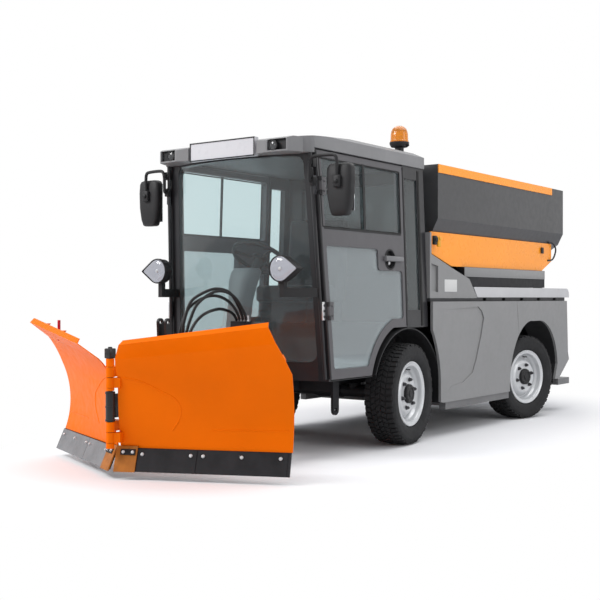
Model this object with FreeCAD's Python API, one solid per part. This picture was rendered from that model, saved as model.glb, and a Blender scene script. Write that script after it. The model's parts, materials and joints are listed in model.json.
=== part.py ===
import FreeCAD, Part
import math
import os

# Compact implement carrier with a V-shaped snow plough and a gritting hopper.
# Millimetres. X points to the vehicle's left, Y to its rear, Z up, ground at zero.
# Every Y below is measured from the front axle; the finished part is centred at the end.

Vec = FreeCAD.Vector

# Running gear
wheelbase = 1949.0
tyre_radius = 343.0
tyre_width = 221.0
rim_flange_radius = 220.0
rim_half_width = 92.0
wheel_centre_x = 565.5
kingpin_x = 480.0
front_steer_deg = 6.0
rear_steer_deg = -13.0

# Widths and heights that the rest follows
body_half = 663.0
cab_top_z = 1893.0

# Cab
cab_low_z = 486.0
cab_setback = 23.0
cab_tumblehome = 53.0
cab_half_low = body_half - cab_setback
cab_half_top = cab_half_low - cab_tumblehome
cab_corner_low_y = -945.0
cab_corner_top_y = -1032.0
screen_post_low = 75.0
screen_post_top = 80.0
screen_half_low = cab_half_low - screen_post_low
screen_half_top = cab_half_top - screen_post_top
screen_bow = 100.0
screen_round = 55.0
cab_rear_y = 290.0
cab_wall = 45.0
cab_floor = 30.0
arch_radius = 478.0
arch_flat_z = 790.0
roof_height = 100.0
roof_top_z = cab_top_z + roof_height

# Body behind the cab
hopper_setback = 23.0
panel_top_z = 966.0
panel_low_z = 247.0
bed_top_z = 990.0
bed_rear_y = 2743.0

# Hopper
hopper_half = body_half - hopper_setback
hopper_top_z = 1940.0
hopper_front_y = 413.0
hopper_rear_y = 2706.0

# Plough
plough_hinge_y = -2125.0
plough_sweep_deg = 24.0
plough_edge_z = 45.0
wing_length = 1010.0

# Spreading disc
disc_centre_y = 2980.0
disc_radius = 220.0

# Fits
overrun = 20.0
running_clearance = 0.1
seat_gap = 0.3
door_gap = 5.0


def wire(plane, steps, level):
    """Closed outline. A step is a corner, or a pair (middle, end) for an arc."""
    def place(point):
        a, b = point
        if plane == "yz":
            return Vec(level, a, b)
        if plane == "xz":
            return Vec(a, level, b)
        return Vec(a, b, level)

    edges = []
    here = steps[0]
    for step in list(steps[1:]) + [steps[0]]:
        if isinstance(step[0], tuple):
            middle, end = step
            edges.append(Part.Arc(place(here), place(middle), place(end)).toShape())
        else:
            end = step
            if math.dist(here, end) > 0:
                edges.append(Part.LineSegment(place(here), place(end)).toShape())
        here = end
    return Part.Wire(edges)


def prism(plane, steps, low, high):
    """Outline extruded along the axis that its plane leaves out."""
    normal = {"yz": Vec(1, 0, 0), "xz": Vec(0, 1, 0), "xy": Vec(0, 0, 1)}[plane]
    return Part.Face(wire(plane, steps, low)).extrude(normal * (high - low))


def box(x_low, x_high, y_low, y_high, z_low, z_high):
    return Part.makeBox(x_high - x_low, y_high - y_low, z_high - z_low, Vec(x_low, y_low, z_low))


def rod(start, end, radius):
    axis = end - start
    return Part.makeCylinder(radius, axis.Length, start, axis)


def pipe(points, radius):
    """Bent tube: straight runs with a ball at each bend."""
    pieces = [rod(a, b, radius) for a, b in zip(points, points[1:])]
    pieces += [Part.makeSphere(radius, p) for p in points[1:-1]]
    return union(pieces)


def union(shapes):
    joined = shapes[0].fuse(shapes[1:]) if len(shapes) > 1 else shapes[0]
    return joined.removeSplitter()


def mirrored(shape):
    return shape.mirror(Vec(0, 0, 0), Vec(1, 0, 0))


def both_sides(shape):
    return [shape, mirrored(shape)]


def turned(shape, centre, axis, degrees):
    copy = shape.copy()
    copy.rotate(centre, axis, degrees)
    return copy


def revolved(steps, centre, axis_x=True):
    """Closed outline of (axial, radial) points turned about the X or Z axis through centre."""
    if axis_x:
        face = Part.Face(wire("xz", steps, 0))
        solid = face.revolve(Vec(0, 0, 0), Vec(1, 0, 0), 360)
    else:
        face = Part.Face(wire("xz", [swap(step) for step in steps], 0))
        solid = face.revolve(Vec(0, 0, 0), Vec(0, 0, 1), 360)
    solid.translate(centre)
    return solid


def swap(step):
    if isinstance(step[0], tuple):
        return tuple(swap(point) for point in step)
    return (step[1], step[0])


def blend(low, high, z, z_low, z_high):
    return low + (high - low) * (z - z_low) / (z_high - z_low)


# Wheels and knuckles
disc_face_x = 62.0
disc_thickness = 12.0
disc_inner_radius = 125.0
dish_radius = 168.0
dish_face_x = 25.0
barrel_radius = 186.0
barrel_thickness = 10.0
cap_radius = 66.0
cap_length = 28.0
crown_drop = 7.0
crown_half = 74.0
shoulder_half = 98.0
sidewall_radius = 282.0
bead_half = 80.0


def tyre():
    half = tyre_width / 2
    shoulder_radius = tyre_radius - crown_drop
    bead_radius = barrel_radius + barrel_thickness + seat_gap
    flank_radius = rim_flange_radius + seat_gap
    steps = [(-bead_half, bead_radius), (-bead_half, flank_radius),
             (-half, sidewall_radius), (-shoulder_half, shoulder_radius), (-crown_half, tyre_radius),
             (crown_half, tyre_radius), (shoulder_half, shoulder_radius), (half, sidewall_radius),
             (bead_half, flank_radius), (bead_half, bead_radius)]
    return revolved(steps, Vec(0, 0, 0))


def rim():
    outer = barrel_radius + barrel_thickness
    web = disc_face_x - disc_thickness
    steps = [(-rim_half_width, barrel_radius), (-rim_half_width, rim_flange_radius),
             (-bead_half - seat_gap, rim_flange_radius), (-bead_half - seat_gap, outer),
             (bead_half + seat_gap, outer), (bead_half + seat_gap, rim_flange_radius),
             (rim_half_width, rim_flange_radius),
             (rim_half_width, barrel_radius), (dish_face_x, barrel_radius), (dish_face_x, dish_radius),
             (disc_face_x, disc_inner_radius), (disc_face_x, cap_radius),
             (disc_face_x + cap_length, cap_radius), (disc_face_x + cap_length, 0), (web, 0),
             (web, disc_inner_radius - disc_thickness), (dish_face_x - disc_thickness, dish_radius),
             (dish_face_x - disc_thickness, barrel_radius)]
    return revolved(steps, Vec(0, 0, 0))


# Knuckles and axles
kingpin_radius = 32.0
knuckle_half_height = 62.0
spindle_radius = 34.0
yoke_thickness = 22.0
yoke_reach = 80.0
axle_tube_radius = 45.0
axle_case_radius = 52.0
axle_case_half = 110.0
spring_x = 210.0
spring_radius = 42.0
steering_ram_radius = 30.0
steering_ram_half = 230.0
steering_ram_y = 120.0
hub_flange_radius = 96.0
hub_flange_thickness = 14.0

wheel_offset_x = wheel_centre_x - kingpin_x
wheel_height = tyre_radius


def knuckle():
    """Left knuckle about its kingpin at the origin, spindle towards +X."""
    boss = rod(Vec(0, 0, -knuckle_half_height), Vec(0, 0, knuckle_half_height), kingpin_radius)
    flange_x = wheel_offset_x + disc_face_x - disc_thickness - seat_gap
    spindle = rod(Vec(0, 0, 0), Vec(flange_x - hub_flange_thickness, 0, 0), spindle_radius)
    flange = rod(Vec(flange_x - hub_flange_thickness, 0, 0), Vec(flange_x, 0, 0), hub_flange_radius)
    return union([boss, spindle, flange])


def place_wheel(shape, side, axle_y, steer_deg, offset):
    """Moves a piece modelled about its own centre to a corner of the vehicle."""
    piece = shape.copy()
    piece.translate(Vec(offset, 0, 0))
    if side < 0:
        piece = mirrored(piece)
    piece.rotate(Vec(0, 0, 0), Vec(0, 0, 1), steer_deg)
    piece.translate(Vec(side * kingpin_x, axle_y, wheel_height))
    return piece


def axle(axle_y, rail_low):
    """Beam with a final drive case, yokes at both kingpins, springs and the steering ram."""
    height = wheel_height
    gap = knuckle_half_height + running_clearance
    inner = kingpin_x - yoke_reach
    pieces = [rod(Vec(-inner, axle_y, height), Vec(inner, axle_y, height), axle_tube_radius),
              rod(Vec(-axle_case_half, axle_y, height), Vec(axle_case_half, axle_y, height),
                  axle_case_radius)]
    for side in (-1, 1):
        root = side * inner
        tip = side * (kingpin_x + kingpin_radius)
        low_x, high_x = min(root, tip), max(root, tip)
        for z in (height + gap, height - gap - yoke_thickness):
            pieces.append(box(low_x, high_x, axle_y - kingpin_radius, axle_y + kingpin_radius, z,
                              z + yoke_thickness))
        web_in, web_out = root, root - side * yoke_thickness
        pieces.append(box(min(web_in, web_out), max(web_in, web_out), axle_y - kingpin_radius,
                          axle_y + kingpin_radius, height - gap - yoke_thickness,
                          height + gap + yoke_thickness))
        pieces.append(rod(Vec(side * spring_x, axle_y, height), Vec(side * spring_x, axle_y, rail_low),
                          spring_radius))
    ram_y = axle_y + steering_ram_y
    pieces.append(rod(Vec(-steering_ram_half, ram_y, height), Vec(steering_ram_half, ram_y, height),
                      steering_ram_radius))
    pieces.append(box(-spring_radius, spring_radius, axle_y, ram_y, height - steering_ram_radius,
                      height + steering_ram_radius))
    return union(pieces)


# Chassis
rail_inner_x = 180.0
rail_outer_x = 240.0
rail_low_z = 400.0
rail_top_z = 482.0
rail_front_y = -1090.0
rail_rear_y = 2700.0
cross_depth = 80.0
cross_places_share = (0.0, 0.28, 0.55, 0.8, 1.0)
post_places = (1180.0, 2360.0)
post_depth = 90.0
engine_half = 280.0
engine_front_y = 430.0
engine_rear_y = 1090.0
engine_top_z = 930.0
tank_front_y = 520.0
tank_rear_y = 1380.0
tank_low_z = 300.0
tank_top_z = 478.0
skin = 20.0
bracket_x = 500.0
bracket_y = -664.0
bracket_hole_z = 284.0
bracket_hole_radius = 12.5
bracket_plate = 16.0
bracket_half_depth = 34.0


def chassis_rails():
    x_low, x_high = rail_inner_x, rail_outer_x
    return both_sides(box(x_low, x_high, rail_front_y, rail_rear_y, rail_low_z, rail_top_z))


def tool_bracket():
    """Left arm under the cab floor, outside the rail, with a bore for a front implement."""
    front, rear = bracket_y - bracket_half_depth, bracket_y + bracket_half_depth
    beam = box(rail_outer_x, bracket_x, front, rear, rail_low_z, rail_top_z)
    steps = [(front, rail_top_z), (front, bracket_hole_z),
             ((bracket_y, bracket_hole_z - bracket_half_depth), (rear, bracket_hole_z)), (rear, rail_top_z)]
    arm = prism("yz", steps, bracket_x - bracket_plate, bracket_x)
    bore = rod(Vec(bracket_x - 2 * bracket_plate, bracket_y, bracket_hole_z),
               Vec(bracket_x + overrun, bracket_y, bracket_hole_z), bracket_hole_radius)
    return union([beam, arm.cut(bore)])


def cross_members():
    """Members between the rails, and the implement brackets outside them."""
    pieces = [box(-rail_inner_x, rail_inner_x, bracket_y - bracket_half_depth, bracket_y + bracket_half_depth,
                  rail_low_z, rail_top_z)]
    span = rail_rear_y - rail_front_y - cross_depth
    for share in cross_places_share:
        y = rail_front_y + share * span
        pieces.append(box(-rail_inner_x, rail_inner_x, y, y + cross_depth, rail_low_z, rail_top_z))
    return pieces + both_sides(tool_bracket())


def bed_frame():
    """Two portals on the rails that carry the bed and the side panels."""
    portals = []
    beam = rail_outer_x - rail_inner_x
    for y in post_places:
        pieces = [box(-body_half + skin, body_half - skin, y, y + post_depth, panel_top_z - beam, panel_top_z)]
        pieces += both_sides(box(rail_inner_x, rail_outer_x, y, y + post_depth, rail_top_z, panel_top_z))
        portals.append(union(pieces))
    return portals


def engine():
    return box(-engine_half, engine_half, engine_front_y, engine_rear_y, rail_top_z, engine_top_z)


def tanks():
    """A fuel tank and an oil tank, hung on the outside of the rails."""
    pieces = []
    for side in (-1, 1):
        x_low, x_high = sorted((side * rail_outer_x, side * (body_half - skin - seat_gap)))
        pieces.append(box(x_low, x_high, tank_front_y, tank_rear_y, tank_low_z, tank_top_z))
    return pieces


# Cab shell
door_front_low_y = -923.0
door_front_top_y = -1007.0
door_rear_y = 0.0
door_low_z = 495.0
door_top_gap = 9.0
door_top_z = cab_top_z - door_top_gap
screen_low_z = 600.0
screen_header = 43.0
screen_top_z = cab_top_z - screen_header
rear_window_half = 430.0
rear_window_low_z = 1150.0
rear_header = 93.0
rear_window_top_z = cab_top_z - rear_header
quarter_front_y = 25.0
quarter_rear_y = 192.0
quarter_low_z = 910.0
quarter_header = 88.0
quarter_top_z = cab_top_z - quarter_header
glass = 6.0
glass_inset = 10.0


def cab_half(z):
    return blend(cab_half_low, cab_half_top, z, cab_low_z, cab_top_z)


def cab_corner_y(z):
    return blend(cab_corner_low_y, cab_corner_top_y, z, cab_low_z, cab_top_z)


def screen_half(z):
    return blend(screen_half_low, screen_half_top, z, cab_low_z, cab_top_z)


def cab_ring(z, inset):
    half = cab_half(z) - inset
    corner = cab_corner_y(z) + inset
    rear = cab_rear_y - inset
    front_half = screen_half(z) - inset
    return wire("xy", [(-half, corner), (-front_half, corner), ((0, corner - screen_bow), (front_half, corner)),
                       (half, corner), (half, rear), (-half, rear)], z)


def cab_volume(inset, z_low, z_high):
    return Part.makeLoft([cab_ring(z_low, inset), cab_ring(z_high, inset)], True, True)


def arch_y(radius, z):
    return -math.sqrt(radius ** 2 - (z - wheel_height) ** 2)


def arch_steps(radius, z_start, z_flat):
    """The arc over the front wheel, from its front foot to the flat above the wheel."""
    start = (arch_y(radius, z_start), z_start)
    end = (arch_y(radius, z_flat), z_flat)
    middle_angle = (math.atan2(z_start - wheel_height, start[0]) + math.atan2(z_flat - wheel_height, end[0])) / 2
    middle = (radius * math.cos(middle_angle), wheel_height + radius * math.sin(middle_angle))
    return [start, (middle, end)]


def cab_silhouette(lift):
    front = cab_corner_top_y - 2 * screen_bow
    rear = cab_rear_y + overrun
    floor = cab_low_z + lift
    steps = [(front, floor)] + arch_steps(arch_radius + lift, floor, arch_flat_z + lift)
    steps += [(rear, arch_flat_z + lift), (rear, cab_top_z + overrun), (front, cab_top_z + overrun)]
    return prism("yz", steps, -cab_half_low - overrun, cab_half_low + overrun)


def side_slab(depth_from, depth_to):
    """Part of the left side wall between two depths from its outer face."""
    y_low, y_high = cab_corner_top_y - overrun, cab_rear_y + overrun
    low, high = cab_low_z - overrun, cab_top_z + overrun
    steps = [(cab_half(low) - depth_to, low), (cab_half(low) - depth_from, low),
             (cab_half(high) - depth_from, high), (cab_half(high) - depth_to, high)]
    return prism("xz", steps, y_low, y_high)


def door_front_y(z):
    return blend(door_front_low_y, door_front_top_y, z, door_low_z, door_top_z)


def door_outline(grow):
    """Side outline of the door; grow widens it for its opening."""
    low, top = door_low_z - grow, door_top_z + grow
    radius = arch_radius + door_gap - grow
    flat = arch_flat_z + door_gap - grow
    steps = [(door_front_y(low) - grow, low)] + arch_steps(radius, low, flat)
    steps += [(door_rear_y + grow, flat), (door_rear_y + grow, top), (door_front_y(top) - grow, top)]
    return prism("yz", steps, 0, cab_half_low + overrun)


def quarter_outline():
    return prism("yz", [(quarter_front_y, quarter_low_z), (quarter_rear_y, quarter_low_z),
                        (quarter_rear_y, quarter_top_z), (quarter_front_y, quarter_top_z)],
                 0, cab_half_low + overrun)


def screen_opening():
    steps = [(-screen_half(screen_low_z), screen_low_z), (screen_half(screen_low_z), screen_low_z),
             (screen_half(screen_top_z), screen_top_z), (-screen_half(screen_top_z), screen_top_z)]
    opening = prism("xz", steps, cab_corner_top_y - 2 * screen_bow, door_front_low_y / 2)
    along = [edge for edge in opening.Edges if abs(edge.tangentAt(edge.FirstParameter).y) > 1 / 2]
    return opening.makeFillet(screen_round, along)


def cab_frame():
    shell = cab_volume(0, cab_low_z, cab_top_z).common(cab_silhouette(0))
    inside = cab_volume(cab_wall, cab_low_z, cab_top_z + overrun).common(cab_silhouette(cab_floor))
    shell = shell.cut(inside).cut(screen_opening())
    doorway = side_slab(-overrun, cab_wall + door_gap).common(door_outline(door_gap))
    quarter = side_slab(-overrun, cab_wall + door_gap).common(quarter_outline())
    for opening in both_sides(doorway) + both_sides(quarter):
        shell = shell.cut(opening)
    shell = shell.cut(box(-rear_window_half, rear_window_half, cab_rear_y - cab_wall - overrun,
                          cab_rear_y + overrun, rear_window_low_z, rear_window_top_z))
    lugs = cab_hinges()
    return union([shell] + lugs + [mirrored(lug) for lug in lugs])


def windscreen():
    outer = cab_volume(0, cab_low_z, cab_top_z)
    behind = outer.copy()
    behind.translate(Vec(0, glass, 0))
    return outer.cut(behind).common(screen_opening())


def cab_windows():
    pane = side_slab(glass_inset, glass_inset + glass).common(quarter_outline())
    rear = box(-rear_window_half, rear_window_half, cab_rear_y - glass_inset - glass, cab_rear_y - glass_inset,
               rear_window_low_z, rear_window_top_z)
    return both_sides(pane) + [rear]


# Doors
door_bar_front = 45.0
door_bar_rear = 36.0
door_bar_low = 60.0
door_bar_arch = 62.0
mid_rail_low_z = 1310.0
mid_rail_top_z = 1412.0
door_bar_top = 39.0
door_window_top_z = door_top_z - door_bar_top
pocket_front_y = -338.0
pocket_low_z = 1172.0
slider_y = -490.0
slider_half = 13.0
hinge_out = 16.0
hinge_pin_radius = 8.0
hinge_barrel_radius = 14.0
hinge_sleeve_half = 26.0
hinge_height = 110.0
hinge_places = (912.0, 1668.0)
hinge_plate = 10.0
hinge_leaf = 62.0
hinge_run = 3.0
handle_low_z = 1236.0
handle_top_z = 1266.0
handle_front_y = -270.0
handle_rear_y = -48.0
handle_proud = 22.0
pocket_radius = 62.0
pocket_depth = 26.0
pane_round = 24.0
pocket_y = -190.0
pocket_z = 1246.0


def rounded(opening, radius):
    """Opening through the side with its corners rounded."""
    across = [edge for edge in opening.Edges
              if isinstance(edge.Curve, Part.Line) and abs(edge.tangentAt(edge.FirstParameter).x) > 1 / 2]
    return opening.makeFillet(radius, across)


def lower_window():
    """The lower pane follows the arch and leaves the lock's corner to the frame."""
    low = door_low_z + door_bar_low
    rear = door_rear_y - door_bar_rear
    flat = arch_flat_z + door_bar_arch
    steps = [(door_front_y(low) + door_bar_front, low)]
    steps += arch_steps(arch_radius + door_bar_arch - door_gap, low, flat)
    steps += [(rear, flat), (rear, pocket_low_z), (pocket_front_y, pocket_low_z),
              (pocket_front_y, mid_rail_low_z), (door_front_y(mid_rail_low_z) + door_bar_front, mid_rail_low_z)]
    return rounded(prism("yz", steps, 0, cab_half_low + overrun), pane_round)


def upper_window():
    low, top = mid_rail_top_z, door_window_top_z
    rear = door_rear_y - door_bar_rear
    steps = [(door_front_y(low) + door_bar_front, low), (rear, low), (rear, top),
             (door_front_y(top) + door_bar_front, top)]
    return rounded(prism("yz", steps, 0, cab_half_low + overrun), pane_round)


def hinge_axis_x(z):
    return cab_half(z) + hinge_out


def hinge_axis_point(z):
    return Vec(hinge_axis_x(z), door_front_y(z), z)


def door():
    """Left door frame, with its hinge leaves, lock pocket and pull bar."""
    frame = side_slab(0, cab_wall).common(door_outline(0)).cut(lower_window()).cut(upper_window())
    pocket = rod(Vec(0, pocket_y, pocket_z), Vec(cab_half_low + overrun, pocket_y, pocket_z), pocket_radius)
    frame = frame.cut(side_slab(-overrun, pocket_depth).common(pocket))
    bar = side_slab(-handle_proud, 0).common(
        box(0, cab_half_low + 2 * overrun, handle_front_y, handle_rear_y, handle_low_z, handle_top_z))
    bar = bar.cut(side_slab(-handle_proud / 2, 0).common(pocket))
    pieces = [frame, bar]
    for z in hinge_places:
        slab = side_slab(-hinge_plate, 0)
        front = door_front_y(z)
        pieces.append(slab.common(box(0, cab_half_low + overrun, front + hinge_barrel_radius + door_gap,
                                      front + hinge_leaf, z - hinge_height / 2, z + hinge_height / 2)))
        pieces.append(slab.common(box(0, cab_half_low + overrun, front, front + hinge_leaf,
                                      z - hinge_sleeve_half + hinge_run, z + hinge_sleeve_half - hinge_run)))
        pieces.append(hinge_rod(z, -hinge_sleeve_half, hinge_sleeve_half, hinge_barrel_radius))
    solid = union(pieces)
    for z in hinge_places:
        solid = solid.cut(hinge_rod(z, -hinge_height, hinge_height, hinge_pin_radius + running_clearance))
    return solid


def hinge_rod(z, below, above, radius):
    """Round piece on the door's hinge line, from below to above the hinge's middle."""
    return rod(hinge_axis_point(z + below), hinge_axis_point(z + above), radius)


def cab_hinges():
    """Pins of the left door, each with two lugs on the front pillar."""
    lugs = []
    for z in hinge_places:
        half = hinge_height / 2
        lugs.append(hinge_rod(z, -half, half, hinge_pin_radius))
        for low, high in ((-half, -hinge_sleeve_half - hinge_run), (hinge_sleeve_half + hinge_run, half)):
            lugs.append(hinge_rod(z, low, high, hinge_barrel_radius))
            corner = cab_corner_y(z) + hinge_run
            lugs.append(side_slab(-hinge_out, hinge_run).common(
                box(0, cab_half_low + 2 * overrun, corner, door_front_y(z) - door_gap - hinge_run, z + low + hinge_run,
                    z + high - hinge_run)))
    return lugs


def door_glass():
    panes = side_slab(glass_inset, glass_inset + glass)
    slider = side_slab(glass_inset - glass, glass_inset).common(
        box(0, cab_half_low, slider_y - slider_half, slider_y + slider_half, mid_rail_top_z, door_window_top_z))
    return [panes.common(lower_window()), panes.common(upper_window()).fuse(slider).removeSplitter()]


# Roof
roof_lip_drop = 31.0
roof_lip_z = cab_top_z - roof_lip_drop
roof_overhang = 13.0
roof_half = cab_half_top + roof_overhang
roof_front_corner_y = -1103.0
roof_front_middle_y = -1168.0
roof_rear_y = 286.0
roof_corner_cut = 70.0
roof_corner_back_y = -1040.0
roof_brow_y = -620.0
roof_brow_drop = 42.0
roof_tail_y = 180.0
roof_tail_drop = 24.0
roof_side_drop = 22.0
roof_side_in = 26.0
pod_inner_x = 276.0
pod_face_inner_x = 362.0
pod_face_outer_x = 516.0
pod_outer_x = 560.0
pod_front_y = -1212.0
pod_outer_front_y = -1196.0
pod_root_y = -1080.0
pod_top_z = 1953.0
pod_shoulder = 26.0
pod_recess_inner_x = 374.0
pod_recess_outer_x = 506.0
pod_recess_low_z = 1872.0
pod_recess_top_z = 1938.0
pod_recess_depth = 40.0


def roof_ring(z, inset):
    half = roof_half - inset
    cut = roof_corner_cut
    front = roof_front_corner_y + inset
    back = roof_corner_back_y + inset
    steps = [(-half, roof_rear_y - inset), (-half, back),
             ((-half + cut / 4, (front + back) / 2), (-half + cut, front)),
             ((0, roof_front_middle_y + inset), (half - cut, front)),
             ((half - cut / 4, (front + back) / 2), (half, back)), (half, roof_rear_y - inset)]
    return wire("xy", steps, z)


def roof_sides():
    """Room that the roof's cross section and its side outline leave it."""
    low = roof_lip_z - overrun
    edge = roof_top_z - roof_side_drop
    across = prism("xz", [(-roof_half, low), (roof_half, low), (roof_half, edge), (roof_half - roof_side_in, roof_top_z),
                          (-roof_half + roof_side_in, roof_top_z), (-roof_half, edge)],
                   roof_front_middle_y - overrun, roof_rear_y + overrun)
    brow = roof_top_z - roof_brow_drop
    along = prism("yz", [(roof_front_middle_y - overrun, low), (roof_rear_y + overrun, low),
                         (roof_rear_y + overrun, roof_top_z - roof_tail_drop), (roof_tail_y, roof_top_z),
                         (roof_brow_y, roof_top_z), (roof_front_middle_y - overrun, brow)], -roof_half, roof_half)
    return across.common(along)


def lamp_pod():
    """Left brow of the roof, with the recess of its work lamp."""
    plan = [(pod_inner_x, pod_root_y), (pod_inner_x, plate_front_y), (pod_face_inner_x, pod_front_y),
            (pod_face_outer_x, pod_outer_front_y), (pod_outer_x, pod_root_y)]
    body = prism("xy", plan, roof_lip_z, pod_top_z)
    slope = prism("yz", [(pod_front_y - overrun, roof_lip_z), (pod_root_y, roof_lip_z), (pod_root_y, pod_top_z),
                         (pod_front_y + 2 * pod_shoulder, pod_top_z), (pod_front_y - overrun, pod_top_z - pod_shoulder)],
                  pod_inner_x, pod_outer_x)
    return body.common(slope).cut(box(pod_recess_inner_x, pod_recess_outer_x, pod_front_y - overrun,
                                      pod_front_y + pod_recess_depth, pod_recess_low_z, pod_recess_top_z))


def roof():
    """A deep moulded roof; its lip and its two lamp pods hang in front of the header."""
    plan = Part.Face(roof_ring(roof_lip_z, 0)).extrude(Vec(0, 0, roof_top_z - roof_lip_z))
    shell = plan.common(roof_sides())
    behind = cab_volume(-seat_gap, cab_low_z, cab_top_z + overrun)
    above = box(-roof_half, roof_half, roof_corner_back_y, roof_rear_y + overrun, cab_top_z, roof_top_z)
    brow = shell.common(box(-roof_half, roof_half, roof_front_middle_y - overrun, roof_corner_back_y, roof_lip_z,
                            roof_top_z))
    pieces = [brow.cut(behind.common(box(-roof_half, roof_half, roof_front_middle_y - overrun, 0, 0, cab_top_z)))]
    pieces.append(shell.common(above))
    lower = behind.common(box(-roof_half, roof_half, pod_front_y, 0, 0, cab_top_z))
    pieces += [pod.cut(lower) for pod in both_sides(lamp_pod())]
    return union(pieces)


# Roof fittings
plate_half = 262.0
plate_half_height = 58.0
plate_rise = 18.0
plate_centre_z = cab_top_z + plate_rise
plate_front_y = -1190.0
work_lamp_x = 414.0
work_lamp_rise = 8.0
work_lamp_z = cab_top_z + work_lamp_rise
work_lamp_radius = 29.0
work_lamp_depth = 26.0
work_lamp_plate = 8.0
lens_thickness = 10.0
beacon_x = 480.0
beacon_y = 150.0
beacon_base_radius = 42.0
beacon_stem_radius = 26.0
beacon_stem_height = 37.0
beacon_cup_height = 42.0
beacon_lens_height = 118.0
beacon_foot_z = roof_top_z + beacon_stem_height
beacon_cup_z = beacon_foot_z + beacon_cup_height
beacon_lens_radius = 66.0
beacon_top_z = beacon_cup_z + beacon_lens_height


def roof_seat():
    """The room of the roof's front face, for what is seated on it."""
    face = Part.Face(roof_ring(roof_lip_z - overrun, -seat_gap))
    return face.extrude(Vec(0, 0, roof_top_z - roof_lip_z + 2 * overrun))


def plate_board():
    """Blank number plate on its backing board."""
    board = box(-plate_half, plate_half, plate_front_y, roof_front_corner_y,
                plate_centre_z - plate_half_height, plate_centre_z + plate_half_height)
    return board.cut(roof_seat())


def work_lamp_seat_y():
    return pod_front_y + pod_recess_depth - seat_gap


def work_lamp_body():
    """Round work lamp on its plate at the bottom of the pod's recess."""
    back = work_lamp_seat_y()
    plate = box(pod_recess_inner_x + seat_gap, pod_recess_outer_x - seat_gap, back - work_lamp_plate, back,
                pod_recess_low_z + seat_gap, pod_recess_top_z - seat_gap)
    barrel = rod(Vec(work_lamp_x, back - work_lamp_plate - work_lamp_depth, work_lamp_z),
                 Vec(work_lamp_x, back, work_lamp_z), work_lamp_radius)
    return union([plate, barrel])


def work_lamp_lens():
    front = work_lamp_seat_y() - work_lamp_plate - work_lamp_depth
    return rod(Vec(work_lamp_x, front - lens_thickness, work_lamp_z), Vec(work_lamp_x, front, work_lamp_z),
               work_lamp_radius)


def beacon_base():
    steps = [(roof_top_z, 0), (roof_top_z, beacon_stem_radius), (beacon_foot_z, beacon_stem_radius),
             (beacon_cup_z, beacon_lens_radius), (beacon_cup_z, 0)]
    return revolved(steps, Vec(beacon_x, beacon_y, 0), False)


def beacon_lens():
    round_z = beacon_top_z - beacon_base_radius
    steps = [(beacon_cup_z, 0), (beacon_cup_z, beacon_lens_radius), (round_z, beacon_lens_radius),
             (beacon_top_z, beacon_base_radius), (beacon_top_z, 0)]
    return revolved(steps, Vec(beacon_x, beacon_y, 0), False)


# Headlamps on their bracket arms
headlamp_x = 497.0
headlamp_z = 1164.0
headlamp_radius = 77.0
headlamp_tip_x = 626.0
headlamp_front_y = -1246.0
headlamp_depth = 95.0
headlamp_back_share = 0.55
bracket_half = 16.0
bracket_low_z = 996.0
bracket_top_z = 1050.0
bracket_front_y = -1222.0
bracket_front_x = 492.0
bracket_root_x = 590.0


def teardrop(y, scale):
    """Lamp outline: a round inner side and a pointed outer side."""
    radius = headlamp_radius * scale
    tip = (headlamp_tip_x - headlamp_x) * scale
    angle = math.acos(radius / tip)
    touch = (headlamp_x + radius * math.cos(angle), radius * math.sin(angle))
    steps = [(headlamp_x + tip, headlamp_z), (touch[0], headlamp_z + touch[1]),
             ((headlamp_x - radius, headlamp_z), (touch[0], headlamp_z - touch[1]))]
    return wire("xz", steps, y)


def headlamp_body():
    rear = headlamp_front_y + lens_thickness + headlamp_depth
    front = headlamp_front_y + lens_thickness
    shell = Part.makeLoft([teardrop(front, 1), teardrop(front + headlamp_depth / 2, 1),
                           teardrop(rear, headlamp_back_share)], True, True)
    foot = box(bracket_front_x - bracket_half, bracket_front_x + bracket_half, bracket_front_y,
               bracket_front_y + 2 * bracket_half, bracket_low_z, headlamp_z)
    root_y = cab_corner_y(bracket_low_z) + seat_gap
    steps = [(bracket_front_x - bracket_half, bracket_front_y),
             (bracket_front_x + bracket_half, bracket_front_y),
             (bracket_root_x + bracket_half, root_y - cab_wall), (bracket_root_x + bracket_half, root_y - overrun),
             (bracket_root_x - 2 * bracket_half, root_y - overrun)]
    arm = prism("xy", steps, bracket_low_z, bracket_top_z)
    pad = box(bracket_root_x - 2 * bracket_half, bracket_root_x + bracket_half, root_y - 2 * overrun,
              door_front_low_y, bracket_low_z, bracket_top_z)
    pad = pad.cut(cab_volume(0, cab_low_z, cab_top_z))
    return union([shell, foot, arm, pad])


def headlamp_lens():
    return Part.Face(teardrop(headlamp_front_y, 1)).extrude(Vec(0, lens_thickness, 0))


# Rear lamps on the closing panel
rear_lamp_x = 520.0
rear_lamp_half = 70.0
rear_lamp_low_z = 842.0
rear_lamp_top_z = 932.0
rear_lamp_depth = 28.0


def rear_lamp(depth_from, depth_to, rim):
    return box(rear_lamp_x - rear_lamp_half + rim, rear_lamp_x + rear_lamp_half - rim, bed_rear_y + depth_from,
               bed_rear_y + depth_to, rear_lamp_low_z + rim, rear_lamp_top_z - rim)


# Mirrors
mirror_out = 187.0
mirror_x = cab_half_top + mirror_out
mirror_y = -1012.0
mirror_z = 1631.0
mirror_half = 92.0
mirror_half_depth = 34.0
mirror_half_height = 152.0
mirror_round = 24.0
mirror_tube_radius = 11.0
mirror_arm_top_z = 1800.0
mirror_arm_low_z = 1690.0
mirror_arm_out = 30.0


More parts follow.
